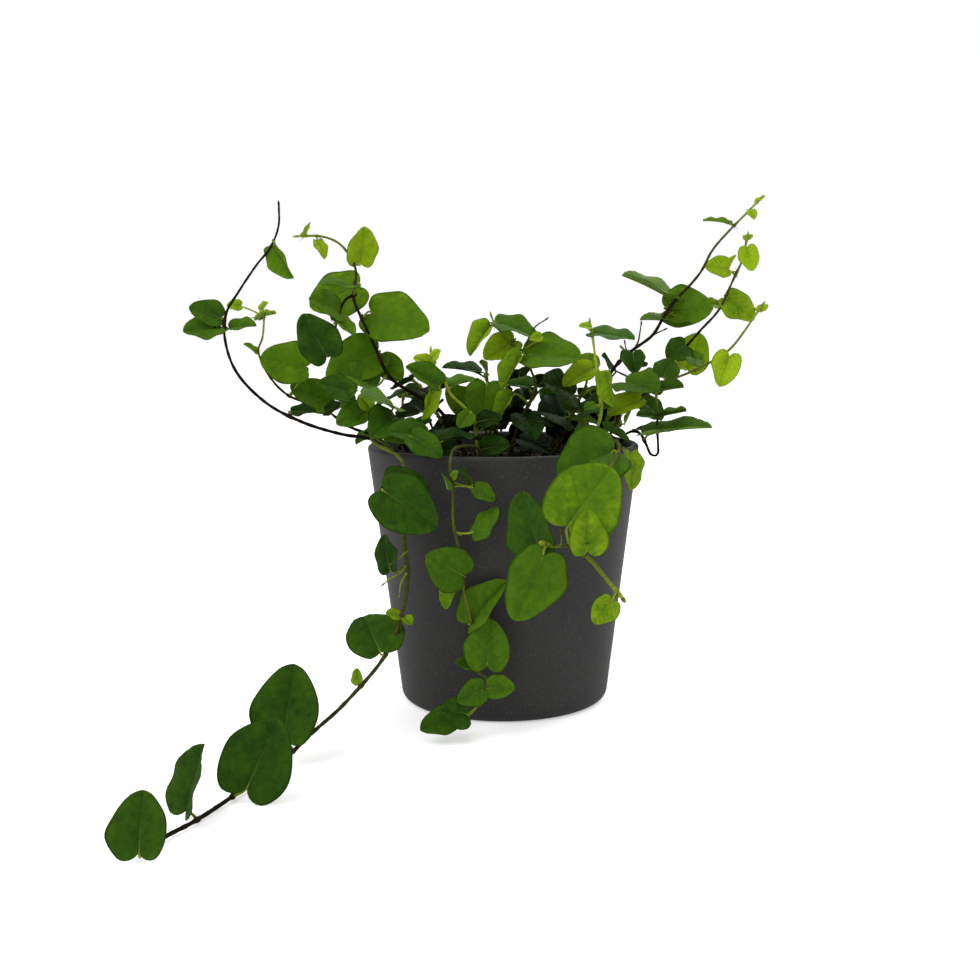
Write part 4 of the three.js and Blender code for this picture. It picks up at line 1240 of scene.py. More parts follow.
@dataclass(frozen=True)
class LeafFace:
    """A face of the fig's leaves, deep green above and paler below, with its vein network.

    The light that comes through a leaf has one colour for each of a few ages, so a leaf takes the
    material of its age. Scales are cells in a millimetre. blotches, patches, spots and the two vein
    shades say how far each shifts the green. The two vein shades, for the side veins and the vein
    net, are painted shade that darkens the leaf where its grooves lie.
    """

    name: str
    greens: tuple[tuple[float, Colour], ...]
    vein: Colour
    vein_share: float
    roughness: float
    shine: float
    relief: float
    through: float
    rim: Colour = (0.010, 0.020, 0.003)
    rim_share: float = 0.65
    blotch_scale: float = 0.16
    patch_scale: float = 0.42
    spot_scale: float = 0.55
    fine_scale: float = 2.4
    net_scale: float = 0.75
    blotches: float = 0.42
    patches: float = 0.22
    spots: float = 0.05
    # Painted shade in the grooves of the side veins and of the vein net.
    vein_painted_shade: float = 0.035
    net_painted_shade: float = 0.015

    def material(self, age: LeafAge) -> bpy.types.Material:
        """Builds the leaf's green, veins, blotches, dark rim and relief.

        The green takes painted light towards the margin and painted shade in the vein grooves.

        Args:
            age: The leaf's age.

        Returns:
            The material.
        """
        g = Graph(f"{self.name}_{age.word}")
        a, b, seed = g.attribute("place")
        tone, level, length = g.attribute("look")
        across = abs(b) / (length * VEIN_HALF_WIDTH)
        way = (a / length - across * VEIN_LEAN) * VEINS + VEIN_START + b.below(0.0) * 0.5
        lateral = way.near_whole().smooth(0.3, 0.0) * across.smooth(0.0, 0.1) * level.smooth(1.0, 0.7)
        midrib = (abs(b) + a * 0.012).smooth(0.55, 0.15)
        flow = g.vector(a, b, seed * 40.0)
        net = g.cells(flow, self.net_scale, "DISTANCE_TO_EDGE").smooth(0.1, 0.0)
        blotch = g.noise(flow, self.blotch_scale, 4.0)
        fine = g.noise(flow, self.fine_scale, 2.0)
        patch = g.noise(flow, self.patch_scale, 2.0)
        spot = g.noise(flow, self.spot_scale, 1.0).smooth(0.56, 0.7)
        shade = tone * 0.8 + 0.2 + (blotch - 0.5) * self.blotches + (patch - 0.5) * self.patches
        # Painted light: the green is a little lighter towards the margin and darker along the middle, as
        # light falls on a domed blade.
        shade = shade + (level - 0.6) * 0.07 - spot * self.spots
        # Painted shade: the side veins and the vein net are darkened where their grooves lie.
        shade = shade - lateral * self.vein_painted_shade - net * self.net_painted_shade
        colour = g.ramp(shade, self.greens)
        veins = midrib * (a / length).smooth(0.9, 0.1) + lateral * 0.1
        colour = g.mix(colour, self.vein, veins * self.vein_share)
        colour = g.mix(colour, self.rim, level.smooth(0.9, 0.985) * self.rim_share)
        height = fine * 0.03 + patch * 1.3 - (midrib * 0.5 + lateral * 0.5)
        face = g.surface({
            "Base Color": colour,
            "Roughness": self.roughness + (blotch - 0.5) * 0.25,
            "Specular IOR Level": self.shine,
            "Normal": g.bump(height, self.relief * MM),
        })
        light = g.node("ShaderNodeBsdfTranslucent", {}, {"Color": (*age.glow, 1.0)}).outputs[0]
        return g.finish(g.node("ShaderNodeMixShader", {}, {0: self.through, 1: face, 2: light}).outputs[0])


@dataclass(frozen=True)
class StalkFinish:
    """Stems, petioles and buds, from green young growth to brown, lightly cracked wood.

    Scales are cells in a metre here and in the finishes below.
    """

    name: str = "fig_stalk"
    ages: tuple[tuple[float, Colour], ...] = (
        (0.0, (0.26, 0.34, 0.03)),
        (0.25, (0.105, 0.15, 0.012)),
        (0.5, (0.048, 0.048, 0.010)),
        (0.75, (0.016, 0.011, 0.005)),
        (1.0, (0.006, 0.004, 0.003)),
    )
    scar: Colour = (0.045, 0.022, 0.012)
    grain_scale: float = 1400.0
    ridge_scale: float = 900.0
    shine: float = 0.02
    relief: float = 0.12

    def material(self) -> bpy.types.Material:
        """Builds the stalks' colour by age, their streaks, scars and bark relief.

        Returns:
            The material.
        """
        g = Graph(self.name)
        along, _, seed = g.attribute("place")
        age, scar, _ = g.attribute("look")
        place = g.position()
        streak = g.noise(g.vector(along * 0.4, seed, seed), 1.0, 4.0)
        grain = g.noise(place, self.grain_scale, 3.0)
        colour = g.ramp(age + (streak - 0.5) * 0.3 + (grain - 0.5) * 0.25, self.ages)
        colour = g.mix(colour, self.scar, scar * 0.45)
        ridge = g.cells(place, self.ridge_scale, "DISTANCE_TO_EDGE").smooth(0.0, 0.25)
        return g.finish(g.surface({
            "Base Color": colour,
            "Roughness": 0.5 + age * 0.25,
            "Specular IOR Level": self.shine,
            "Normal": g.bump(grain * 0.6 + ridge * age, self.relief * MM),
        }))


@dataclass(frozen=True)
class PotFinish:
    """Matt charcoal stoneware with a faint pale speckle and small pits."""

    name: str = "pot_stoneware"
    body: Colour = (0.0155, 0.0150, 0.0147)
    cloud: Colour = (0.0215, 0.0205, 0.0198)
    fleck: Colour = (0.13, 0.125, 0.11)
    pit: Colour = (0.012, 0.012, 0.012)
    cloud_scale: float = 28.0
    grit_scale: float = 1500.0
    fleck_scale: float = 700.0
    choice_scale: float = 420.0
    pit_scale: float = 260.0
    pitted_scale: float = 90.0
    shine: float = 0.18
    relief: float = 0.1

    def material(self) -> bpy.types.Material:
        """Builds the pot's colour, flecks, pits and chalky gloss.

        Returns:
            The material.
        """
        g = Graph(self.name)
        place = g.position()
        cloud = g.noise(place, self.cloud_scale, 5.0)
        grit = g.noise(place, self.grit_scale, 2.0)
        speck = g.cells(place, self.fleck_scale).smooth(0.22, 0.08)
        chosen = g.noise(place, self.choice_scale, 1.0).smooth(0.55, 0.7)
        pit = g.cells(place, self.pit_scale).smooth(0.14, 0.04)
        pit = pit * g.noise(place, self.pitted_scale, 1.0).smooth(0.5, 0.65)
        colour = g.mix(self.body, self.cloud, cloud.smooth(0.35, 0.7))
        colour = g.mix(colour, self.fleck, speck * chosen * 0.5 + (grit - 0.5).smooth(0.08, 0.3) * 0.35)
        colour = g.mix(colour, self.pit, pit * 0.6)
        return g.finish(g.surface({
            "Base Color": colour,
            "Roughness": 0.66 + (cloud - 0.5) * 0.2,
            "Specular IOR Level": self.shine,
            "Normal": g.bump(grit * 0.6 - pit, self.relief * MM, 0.7),
        }))


@dataclass(frozen=True)
class SoilFinish:
    """Damp potting soil: dark brown peat with paler fibre and grit."""

    name: str = "potting_soil"
    browns: tuple[tuple[float, Colour], ...] = (
        (0.3, (0.008, 0.0055, 0.004)),
        (0.55, (0.022, 0.014, 0.009)),
        (0.8, (0.06, 0.038, 0.022)),
    )
    patch_scale: float = 110.0
    crumb_scale: float = 620.0
    grit_scale: float = 2100.0
    shine: float = 0.2
    relief: float = 0.6

    def material(self) -> bpy.types.Material:
        """Builds the soil's browns and crumbly relief.

        Returns:
            The material.
        """
        g = Graph(self.name)
        place = g.position()
        patch = g.noise(place, self.patch_scale, 5.0)
        crumb = g.cells(place, self.crumb_scale)
        grit = g.noise(place, self.grit_scale, 2.0)
        colour = g.ramp(patch * 0.7 + grit * 0.35 - crumb * 0.1, self.browns)
        return g.finish(g.surface({
            "Base Color": colour,
            "Roughness": 0.88 + (grit - 0.5) * 0.2,
            "Specular IOR Level": self.shine,
            "Normal": g.bump(grit * 0.5 - crumb, self.relief * MM),
        }))


@dataclass(frozen=True)
class FloorFinish:
    """The plain pale floor."""

    name: str = "studio_floor"
    grey: float = 0.7
    glow: float = 0.42

    def material(self) -> bpy.types.Material:
        """Builds the floor's pale matt finish, which gives back some light as a lit table does.

        Returns:
            The material.
        """
        g = Graph(self.name)
        return g.finish(g.surface({
            "Base Color": (self.grey, self.grey, self.grey, 1.0),
            "Roughness": 0.9,
            "Specular IOR Level": 0.0,
            "Emission Color": (1.0, 1.0, 1.0, 1.0),
            "Emission Strength": self.glow,
        }))


LEAF_AGES = (
    LeafAge("dark", 0.05, (0.010, 0.034, 0.002)),
    LeafAge("old", 0.24, (0.030, 0.092, 0.003)),
    LeafAge("grown", 0.5, (0.075, 0.20, 0.004)),
    LeafAge("fresh", 0.8, (0.19, 0.35, 0.004)),
    LeafAge("young", math.inf, (0.42, 0.58, 0.008)),
)
LEAF_UPPER = LeafFace(
    name="fig_leaf_upper",
    greens=(
        (0.0, (0.006, 0.018, 0.003)),
        (0.2, (0.017, 0.051, 0.005)),
        (0.44, (0.041, 0.106, 0.007)),
        (0.68, (0.088, 0.180, 0.007)),
        (1.0, (0.290, 0.425, 0.012)),
    ),
    vein=(0.19, 0.27, 0.06),
    vein_share=0.26,
    roughness=0.5,
    shine=0.02,
    relief=0.2,
    through=0.3,
)
LEAF_UNDER = LeafFace(
    name="fig_leaf_underside",
    greens=(
        (0.0, (0.016, 0.038, 0.007)),
        (0.2, (0.039, 0.085, 0.012)),
        (0.44, (0.066, 0.144, 0.014)),
        (0.68, (0.122, 0.220, 0.015)),
        (1.0, (0.290, 0.415, 0.018)),
    ),
    vein=(0.28, 0.37, 0.10),
    vein_share=0.6,
    roughness=0.6,
    shine=0.02,
    relief=-0.2,
    through=0.3,
)


class Skin:
    """Points, faces and looks gathered for one mesh, in millimetres.

    Each point has a place, three numbers that say where on its leaf or stalk it is, and a look, three
    numbers for the finish.
    """

    def __init__(self) -> None:
        """Starts with nothing."""
        self.points: list[np.ndarray] = []
        self.places: list[np.ndarray] = []
        self.looks: list[np.ndarray] = []
        self.faces: list[tuple[int, ...]] = []
        self.slots: list[int] = []
        self.count = 0

    def add(
        self,
        points: np.ndarray,
        faces: Sequence[Sequence[int]],
        place: np.ndarray | None = None,
        look: np.ndarray | None = None,
        slot: int | Sequence[int] = 0,
    ) -> None:
        """Adds a closed form.

        Args:
            points: Its points.
            faces: Its faces, by numbers of its own points.
            place: A place for each point.
            look: A look for each point.
            slot: The material slot of all faces, or of each.
        """
        blank = np.zeros((len(points), 3))
        self.points.append(points)
        self.places.append(blank if place is None else place)
        self.looks.append(blank if look is None else look)
        self.faces.extend(tuple(int(i) + self.count for i in face) for face in faces)
        self.slots.extend([slot] * len(faces) if isinstance(slot, int) else slot)
        self.count += len(points)

    def dress(self, name: str, materials: Sequence[bpy.types.Material], crease: float) -> bpy.types.Object:
        """Makes the Blender object.

        Args:
            name: The piece's name.
            materials: Its materials, one for each slot.
            crease: The angle in degrees from which an edge shows sharp.

        Returns:
            The object, at the origin.
        """
        mesh = bpy.data.meshes.new(name)
        mesh.from_pydata((np.vstack(self.points) * MM).tolist(), [], self.faces)
        for label, values in (("place", self.places), ("look", self.looks)):
            attribute = mesh.attributes.new(label, "FLOAT_VECTOR", "POINT")
            attribute.data.foreach_set("vector", np.vstack(values).astype(np.float32).ravel())
        for material in materials:
            mesh.materials.append(material)
        mesh.polygons.foreach_set("material_index", np.array(self.slots, np.int32))
        mesh.shade_smooth()
        mesh.set_sharp_from_angle(angle=math.radians(crease))
        mesh.update()
        piece = bpy.data.objects.new(name, mesh)
        bpy.context.scene.collection.objects.link(piece)
        return piece


def seat(piece: bpy.types.Object, node: str) -> None:
    """Sets a piece on the frame and reports it.

    Args:
        piece: The piece, in place.
        node: The CAD node that it stands for.
    """
    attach(piece, ROOT)
    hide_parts(node)
    triangles = sum(len(face.vertices) - 2 for face in piece.data.polygons)
    LOG.info("%s: %d triangles, for %s", piece.name, triangles, node)


def carried_frames(centres: np.ndarray) -> tuple[np.ndarray, np.ndarray]:
    """Two crosswise directions at each point of a line, carried along it without twist.

    Args:
        centres: The line's points.

    Returns:
        The two directions at each point.
    """
    ahead = np.gradient(centres, axis=0)
    ahead /= np.linalg.norm(ahead, axis=1)[:, None]
    start = np.cross(ahead[0], [0, 0, 1] if abs(ahead[0][2]) < 0.9 else [1, 0, 0])
    sides = [unit(start)]
    for forward in ahead[1:]:
        sides.append(unit(sides[-1] - (sides[-1] @ forward) * forward))
    first = np.array(sides)
    return first, np.cross(ahead, first)


def ring_faces(rings: int, sides: int) -> list[tuple[int, ...]]:
    """Faces that join rings of points, closed by a fan at each end.

    Args:
        rings: How many rings there are.
        sides: Points in a ring. The two end points follow the last ring's.

    Returns:
        The faces.
    """
    faces = []
    for i in range(rings - 1):
        for k in range(sides):
            j = (k + 1) % sides
            faces.append((i * sides + k, i * sides + j, (i + 1) * sides + j, (i + 1) * sides + k))
    start, stop, last = rings * sides, rings * sides + 1, (rings - 1) * sides
    for k in range(sides):
        j = (k + 1) % sides
        faces.append((start, j, k))
        faces.append((stop, last + k, last + j))
    return faces


def tube(centres: np.ndarray, radii: np.ndarray, sides: int) -> tuple[np.ndarray, list[tuple[int, ...]]]:
    """A round tube with pointed ends.

    Args:
        centres: Points on its axis.
        radii: Its radius at each.
        sides: How many sides it has.

    Returns:
        Its points, ring by ring with the two ends last, and its faces.
    """
    first, second = carried_frames(centres)
    around = 2 * math.pi * np.arange(sides) / sides
    ring = first[:, None] * np.cos(around)[None, :, None] + second[:, None] * np.sin(around)[None, :, None]
    points = (centres[:, None] + ring * radii[:, None, None]).reshape(-1, 3)
    start = centres[0] + (centres[0] - centres[1]) * END_REACH
    stop = centres[-1] + (centres[-1] - centres[-2]) * END_REACH
    return np.vstack([points, start, stop]), ring_faces(len(centres), sides)


def lathe(profile: np.ndarray, sides: int) -> tuple[np.ndarray, list[tuple[int, ...]]]:
    """Turns a profile round the vertical axis.

    Args:
        profile: Radius and height of each point, the first and last on the axis.
        sides: How many sides the form has.

    Returns:
        Its points, ring by ring with the two poles last, and its faces.
    """
    around = 2 * math.pi * np.arange(sides) / sides
    rings = profile[1:-1]
    x, y = rings[:, :1] * np.cos(around), rings[:, :1] * np.sin(around)
    z = np.repeat(rings[:, 1:], sides, axis=1)
    points = np.stack([x, y, z], axis=2).reshape(-1, 3)
    poles = [[0, 0, profile[0, 1]], [0, 0, profile[-1, 1]]]
    return np.vstack([points, poles]), ring_faces(len(rings), sides)


def arc(centre: Row, radius: float, start: float, stop: float, steps: int) -> list[Row]:
    """Points on a stretch of a circle, by angles in degrees."""
    angles = np.radians(np.linspace(start, stop, steps + 1))
    return [(centre[0] + radius * math.cos(t), centre[1] + radius * math.sin(t)) for t in angles]


@dataclass(frozen=True)
class LeafSkin:
    """How finely a leaf is drawn, and the relief that its veins give it, in millimetres."""

    rows: int = 30
    levels: tuple[float, ...] = (0.035, 0.09, 0.18, 0.3, 0.44, 0.58, 0.72, 0.85, 0.94, 1.0)
    small_rows: int = 18
    small_levels: tuple[float, ...] = (0.06, 0.2, 0.4, 0.6, 0.8, 0.94, 1.0)
    small_length: float = 12
    thickness: float = 0.34
    edge_share: float = 0.45
    quilt: float = 0.42
    quilt_length: float = 22
    groove: float = 0.12
    rib: float = 0.3
    rib_width: float = 0.25
    rib_growth: float = 0.012
    notch: float = 0.5
    notch_turn: float = 148
    blunt: float = 0.12
    blunt_turn: float = 26
    broad: float = 0.07
    broad_turn: float = 112
    uneven: float = 0.025

    def quilting(self, blade: Blade, a: np.ndarray, b: np.ndarray) -> np.ndarray:
        """How far the leaf swells up between its side veins.

        Args:
            blade: The blade.
            a: Places along it.
            b: Places across it.

        Returns:
            The swelling at each place.
        """
        across = np.abs(b) / (blade.length * VEIN_HALF_WIDTH)
        way = (a / blade.length - across * VEIN_LEAN) * VEINS + VEIN_START + np.where(b < 0, 0.5, 0.0)
        off = 2 * np.abs(way - np.round(way))
        swell = 1 - (1 - off) ** 2
        size = self.quilt * min(1, blade.length / self.quilt_length)
        return size * swell * np.minimum(1, 5 * across) * (1 - np.minimum(across, 1) ** 4)

    def outline(self, blade: Blade, turn: np.ndarray, side: np.ndarray) -> tuple[np.ndarray, np.ndarray]:
        """The blade's margin with a closer notch, a blunter tip and a soft unevenness of its own.

        Args:
            blade: The blade.
            turn: Turns from the tip, 0, to the notch, 180, in degrees.
            side: 1 for the right half and -1 for the left.

        Returns:
            Places along and across the blade.
        """
        a, b = blade.margin(turn, side)
        closer = np.clip((turn - self.notch_turn) / 26, 0, 1)
        blunt = np.exp(-(((turn - self.blunt_turn) / 18) ** 2))
        broad = np.exp(-(((turn - self.broad_turn) / 30) ** 2)) * (1 + 0.6 * side * math.cos(blade.phase))
        t = np.radians(turn)
        uneven = np.sin(3 * t + blade.phase + side) + 0.7 * np.sin(5.2 * t + 2 * blade.phase - 2 * side)
        width = 1 - self.notch * closer**1.5 + self.blunt * blunt + self.broad * broad
        width += self.uneven * uneven * np.sin(t)
        return a, b * width

    def draw(self, skin: Skin, blade: Blade, slots: tuple[int, int]) -> None:
        """Adds a leaf's blade: two quilted faces that meet in a thin rim.

        Args:
            skin: Where it goes.
            blade: The blade.
            slots: The material slots of its upper and under faces.
        """
        small = blade.length < self.small_length
        rows, levels = (self.small_rows, self.small_levels) if small else (self.rows, self.levels)
        level = np.array([-x for x in reversed(levels)] + [0.0, *levels])
        turn = 180 * np.arange(1, rows)[:, None] / rows
        side = np.where(level < 0, -1, 1)[None, :]
        edge_a, edge_b = self.outline(blade, turn, side)
        middle = blade.length * 0.5 * (1 + np.cos(np.radians(turn)))
        a = middle + (edge_a - middle) * np.abs(level)
        b = edge_b * np.abs(level)
        a = np.concatenate([a.ravel(), [blade.length, 0.0]])
        b = np.concatenate([b.ravel(), [0.0, 0.0]])
        out = np.concatenate([np.tile(np.abs(level), rows - 1), [1.0, 1.0]])
        half = self.thickness / 2 * (1 - (1 - self.edge_share) * out**4)
        width = self.rib_width + self.rib_growth * blade.length
        near = np.exp(-((b / width) ** 2)) * np.clip(1 - a / blade.length, 0, 1) ** 0.5
        swell = self.quilting(blade, a, b)
        upper = blade.world(a, b, swell + half - self.groove * near)
        lower = blade.world(a, b, swell - half - self.rib * near)
        place = np.column_stack([a, b, np.full(len(a), blade.wave)])
        look = np.column_stack([np.full(len(a), blade.tone), out, np.full(len(a), blade.length)])
        face, rim = self.net(rows - 1, len(level))
        count = len(a)
        faces = [*face, *(tuple(count + i for i in reversed(f)) for f in face)]
        faces += [(i, count + i, count + j, j) for i, j in rim]
        slot = [slots[0]] * len(face) + [slots[1]] * len(face) + [slots[0]] * len(rim)
        skin.add(np.vstack([upper, lower]), faces, np.vstack([place, place]), np.vstack([look, look]), slot)

    @staticmethod
    def net(rows: int, columns: int) -> tuple[list[tuple[int, ...]], list[tuple[int, int]]]:
        """Faces over a blade's rows, with its tip and notch, and the steps of its rim.

        Args:
            rows: Rows between the tip and the notch.
            columns: Points in a row.

        Returns:
            The faces, and the pairs of points round the rim.
        """
        tip, notch = rows * columns, rows * columns + 1
        faces = []
        for i in range(rows - 1):
            for j in range(columns - 1):
                here, below = i * columns + j, (i + 1) * columns + j
                faces.append((here, below, below + 1, here + 1))
        for j in range(columns - 1):
            faces.append((tip, j, j + 1))
            faces.append(((rows - 1) * columns + j, notch, (rows - 1) * columns + j + 1))
        left = [tip, *(i * columns for i in range(rows)), notch]
        right = [notch, *(i * columns + columns - 1 for i in reversed(range(rows))), tip]
        return faces, [*zip(left[:-1], left[1:]), *zip(right[:-1], right[1:])]


@dataclass
class Stalks:
    """A shoot's stems, petioles, buds, rootlets and hairs, in millimetres."""

    growth: Growth
    step: float = 1.6
    sides: int = 10
    node_swell: float = 0.5
    node_length: float = 1.1
    node_reach: float = 1.5
    ripple: float = 0.08
    uneven: float = 0.05
    petiole_sides: int = 7
    petiole_radius: float = 0.46
    spur_radii: Row = (0.5, 0.28)
    bud_length: float = 2.0
    bud_radius: float = 0.42
    tip_length: float = 3.0
    root_length: float = 2.2
    root_radii: Row = (0.14, 0.05)
    hair_length: float = 0.55
    hair_radius: float = 0.035
    hairs_per_mm: float = 1.6
    seed: int = 7
    seed_step: int = 31
    skin: Skin = field(default_factory=Skin)

    def __post_init__(self) -> None:
        """Seeds the shoot's own small chances."""
        place = abs(self.growth.shoot.hole[0])
        self.chance = np.random.default_rng(int(place * self.seed_step + self.seed))
        self.old, self.fresh, self.delay, *self.stout = self.growth.shoot.bark.value

    def build(self, material: bpy.types.Material) -> bpy.types.Object:
        """Makes all stalks of the shoot.

        Args:
            material: The stalks' finish.

        Returns:
            The piece.
        """
        lines = [self.stem(k, route) for k, route in enumerate(self.growth.routes)]
        for leaf in self.growth.leaves:
            self.petiole(leaf, lines)
        for spur in self.growth.shoot.spurs:
            self.spur(np.array(spur, float))
        return self.skin.dress(f"{self.growth.shoot.name}_stalks", [material], 60)

    def put_tube(
        self, centres: np.ndarray, radii: np.ndarray, sides: int, ages: np.ndarray, scars: np.ndarray
    ) -> None:
        """Adds a tube with an age and a scar for each of its rings.

        Args:
            centres: Points on its axis.
            radii: Its radius at each.
            sides: How many sides it has.
            ages: The bark's age at each point.
            scars: How far a leaf scar or node shows at each.
        """
        points, faces = tube(centres, radii, sides)
        run = np.concatenate([[0.0], np.cumsum(np.linalg.norm(np.diff(centres, axis=0), axis=1))])
        seed = self.chance.random()

        def spread(values: np.ndarray) -> np.ndarray:
            """One value for each point from one for each ring."""
            return np.concatenate([np.repeat(values, sides), values[:1], values[-1:]])

        turn = np.concatenate([np.tile(np.arange(sides) / sides, len(centres)), [0.0, 0.0]])
        place = np.column_stack([spread(run), turn, np.full(len(points), seed)])
        look = np.column_stack([spread(ages), spread(scars), np.zeros(len(points))])
        self.skin.add(points, faces, place, look)

    def stem(self, number: int, route: np.ndarray) -> np.ndarray:
        """Adds a stem along its route, swollen at its nodes, with rootlets, hairs and a tip bud.

        Args:
            number: 0 for the shoot's main stem.
            route: The route's points.

        Returns:
            Close points on its axis.
        """
        line = SmoothLine(route)
        centres = line.spaced(steps_along(line, self.step))
        share = np.linspace(0, 1, len(centres))
        first, last = self.growth.shoot.radius
        first = first if number == 0 else BRANCH_RADIUS
        radii = first * self.stout[0] * (1 - share) + last * self.stout[1] * share
        scars = np.zeros(len(centres))
        for leaf in self.growth.leaves:
            gaps = np.linalg.norm(centres - leaf.start, axis=1)
            if gaps.min() < self.node_reach:
                node = gaps.argmin()
                away = np.abs(np.arange(len(centres)) - node) * self.step
                scars = np.maximum(scars, np.exp(-((away / self.node_length) ** 2)))
                if centres[node][2] > COLLAR + 4 or share[node] > 0.3:
                    self.rootlets(centres[node], radii[node])
        radii = radii * (1 + self.node_swell * scars)
        ripple = self.ripple * np.sin(np.arange(len(centres)) * 1.7)
        radii *= 1 + ripple + self.uneven * self.chance.normal(size=len(centres))
        ages = self.old + (self.fresh - self.old) * share**self.delay
        if self.fresh < 0.5:
            ages = np.where(share > 0.9, ages * (1 - 6 * (share - 0.9)), ages)
        self.put_tube(centres, radii, self.sides, ages, scars)
        self.hairs(centres, radii, ages)
        self.bud(centres[-1], unit(centres[-1] - centres[-2]), self.tip_length, radii[-1] * 1.15, ages[-1])
        return centres

    def petiole(self, leaf: Leaf, lines: Sequence[np.ndarray]) -> None:
        """Adds a leaf's petiole from under the blade's notch to the stem, with a bud in its axil.

        Args:
            leaf: The leaf.
            lines: Close points on the shoot's stems.
        """
        blade = leaf.blade
        under = blade.world(0.09 * blade.length, 0.0, -0.3)
        nearest = min(lines, key=lambda line: np.linalg.norm(line - leaf.start, axis=1).min())
        root = nearest[np.linalg.norm(nearest - leaf.start, axis=1).argmin()]
        corners = leaf.petiole
        seat_point = blade.world(0.0, 0.0, -0.25)
        line = SmoothLine([under, seat_point, *corners[1:-1], root])
        centres = line.spaced(max(6, steps_along(line, 1.0)))
        share = np.linspace(0, 1, len(centres))
        thick = self.petiole_radius * (0.72 + 0.28 * min(1, blade.length / 20))
        radii = thick * (0.55 + 0.45 * np.minimum(1, share * 5) + 0.35 * share**6)
        age = 0.08 + 0.3 * (1 - blade.tone) * self.old
        scars = 0.7 * share**8
        self.put_tube(centres, radii, self.petiole_sides, np.full(len(centres), age), scars)
        self.hairs(centres, radii, np.full(len(centres), age), 0.6)
        if blade.length > 9:
            way = unit(unit(centres[-3] - root) + 0.5 * self.any_way())
            length = self.bud_length * (0.7 + 0.6 * self.chance.random())
            self.bud(root + way * 0.8, way, length, self.bud_radius, 0.25)

    def spur(self, points: np.ndarray) -> None:
        """Adds a short bare side twig with a bud on its end.

        Args:
            points: Points on its axis.
        """
        line = SmoothLine(points)
        centres = line.spaced(max(5, steps_along(line, 1.2)))
        radii = np.linspace(*self.spur_radii, len(centres))
        age = 0.6 * self.old
        self.put_tube(centres, radii, 6, np.full(len(centres), age), np.zeros(len(centres)))
        self.bud(centres[-1], unit(centres[-1] - centres[-2]), self.bud_length, self.bud_radius, age)

    def bud(self, base: np.ndarray, way: np.ndarray, length: float, radius: float, age: float) -> None:
        """Adds a pointed bud in its sheath.

        Args:
            base: Where it sits.
            way: Where it points.
            length: Its length.
            radius: Its greatest radius.
            age: Its bark's age.
        """
        share = np.linspace(0, 1, 9)
        bend = unit(np.cross(way, self.any_way()))
        centres = base + way * (length * share)[:, None] + bend * (0.12 * length * share**2)[:, None]
        radii = radius * (0.75 + 1.5 * share) * (1 - share) ** 0.7
        radii[-1] = 0.05
        ages = np.linspace(age + 0.25, age, len(share))
        self.put_tube(centres, radii, 7, ages, np.zeros(len(share)))

    def rootlets(self, node: np.ndarray, radius: float) -> None:
        """Adds a few short clinging roots at a node, pointed down and away from the stem.

        Args:
            node: The node's place.
            radius: The stem's radius there.
        """
        for _ in range(int(self.chance.integers(0, 4))):
            way = unit(self.any_way() + np.array([0, 0, -0.4]))
            length = self.root_length * (0.5 + self.chance.random())
            share = np.linspace(0, 1, 5)
            curl = 0.3 * length * share**2
            centres = node + way * (radius * 0.6 + length * share)[:, None] + self.any_way() * curl[:, None]
            if centres[:, 2].min() < 0.4:
                continue
            radii = np.linspace(*self.root_radii, 5)
            self.put_tube(centres, radii, 4, np.full(5, 0.8), np.zeros(5))

    def hairs(self, centres: np.ndarray, radii: np.ndarray, ages: np.ndarray, share: float = 1.0) -> None:
        """Adds short fine hairs, three-sided spikes that lean towards the stalk's tip.

        Args:
            centres: Points on the stalk's axis.
            radii: Its radius at each.
            ages: The bark's age at each.
            share: How dense they are, beside the stems.
        """
        first, second = carried_frames(centres)
        length = np.linalg.norm(np.diff(centres, axis=0), axis=1).sum()
        for _ in range(int(length * self.hairs_per_mm * share)):
            i = int(self.chance.integers(1, len(centres)))
            slide, t = self.chance.random(), self.chance.random() * 2 * math.pi
            axis_point = centres[i - 1] + (centres[i] - centres[i - 1]) * slide
            out = first[i] * math.cos(t) + second[i] * math.sin(t)
            ahead = unit(centres[i] - centres[i - 1])
            foot = axis_point + out * radii[i] * 0.9
            tip = foot + unit(out + 0.7 * ahead) * self.hair_length * (0.5 + self.chance.random())
            around = np.cross(out, ahead)
            corners = (ahead, -0.5 * ahead + 0.87 * around, -0.5 * ahead - 0.87 * around)
            ring = [foot + self.hair_radius * corner for corner in corners]
            look = np.tile([ages[i] * 0.9, 0.0, 0.0], (4, 1))
            self.skin.add(np.array([*ring, tip]), [(0, 1, 3), (1, 2, 3), (2, 0, 3)], np.zeros((4, 3)), look)

    def any_way(self) -> np.ndarray:
        """A direction by chance."""
        return unit(self.chance.normal(size=3))


@dataclass
class LeafyStem:
    """One shoot of the fig: its leaves and its stalks, which stand for its CAD node."""

    growth: Growth
    leaf_skin: LeafSkin = LeafSkin()

    def leaves(self, materials: Sequence[bpy.types.Material]) -> bpy.types.Object:
        """Makes the shoot's leaves.

        Args:
            materials: The upper faces' materials by age, and then the undersides'.

        Returns:
            The piece.
        """
        skin = Skin()
        for leaf in self.growth.leaves:
            upper = next(k for k, age in enumerate(LEAF_AGES) if leaf.blade.tone < age.below)
            self.leaf_skin.draw(skin, leaf.blade, (upper, upper + len(LEAF_AGES)))
        return skin.dress(f"{self.growth.shoot.name}_leaves", materials, 50)

    def build(self, leaf_materials: Sequence[bpy.types.Material], stalk: bpy.types.Material) -> None:
        """Makes both pieces and sets them on the frame.

        Args:
            leaf_materials: The upper faces' materials by age, and then the undersides'.
            stalk: The stalks' finish.
        """
        shoot = self.growth.shoot
        seat(self.leaves(leaf_materials), shoot.name)
        seat(Stalks(self.growth).build(stalk), shoot.name)


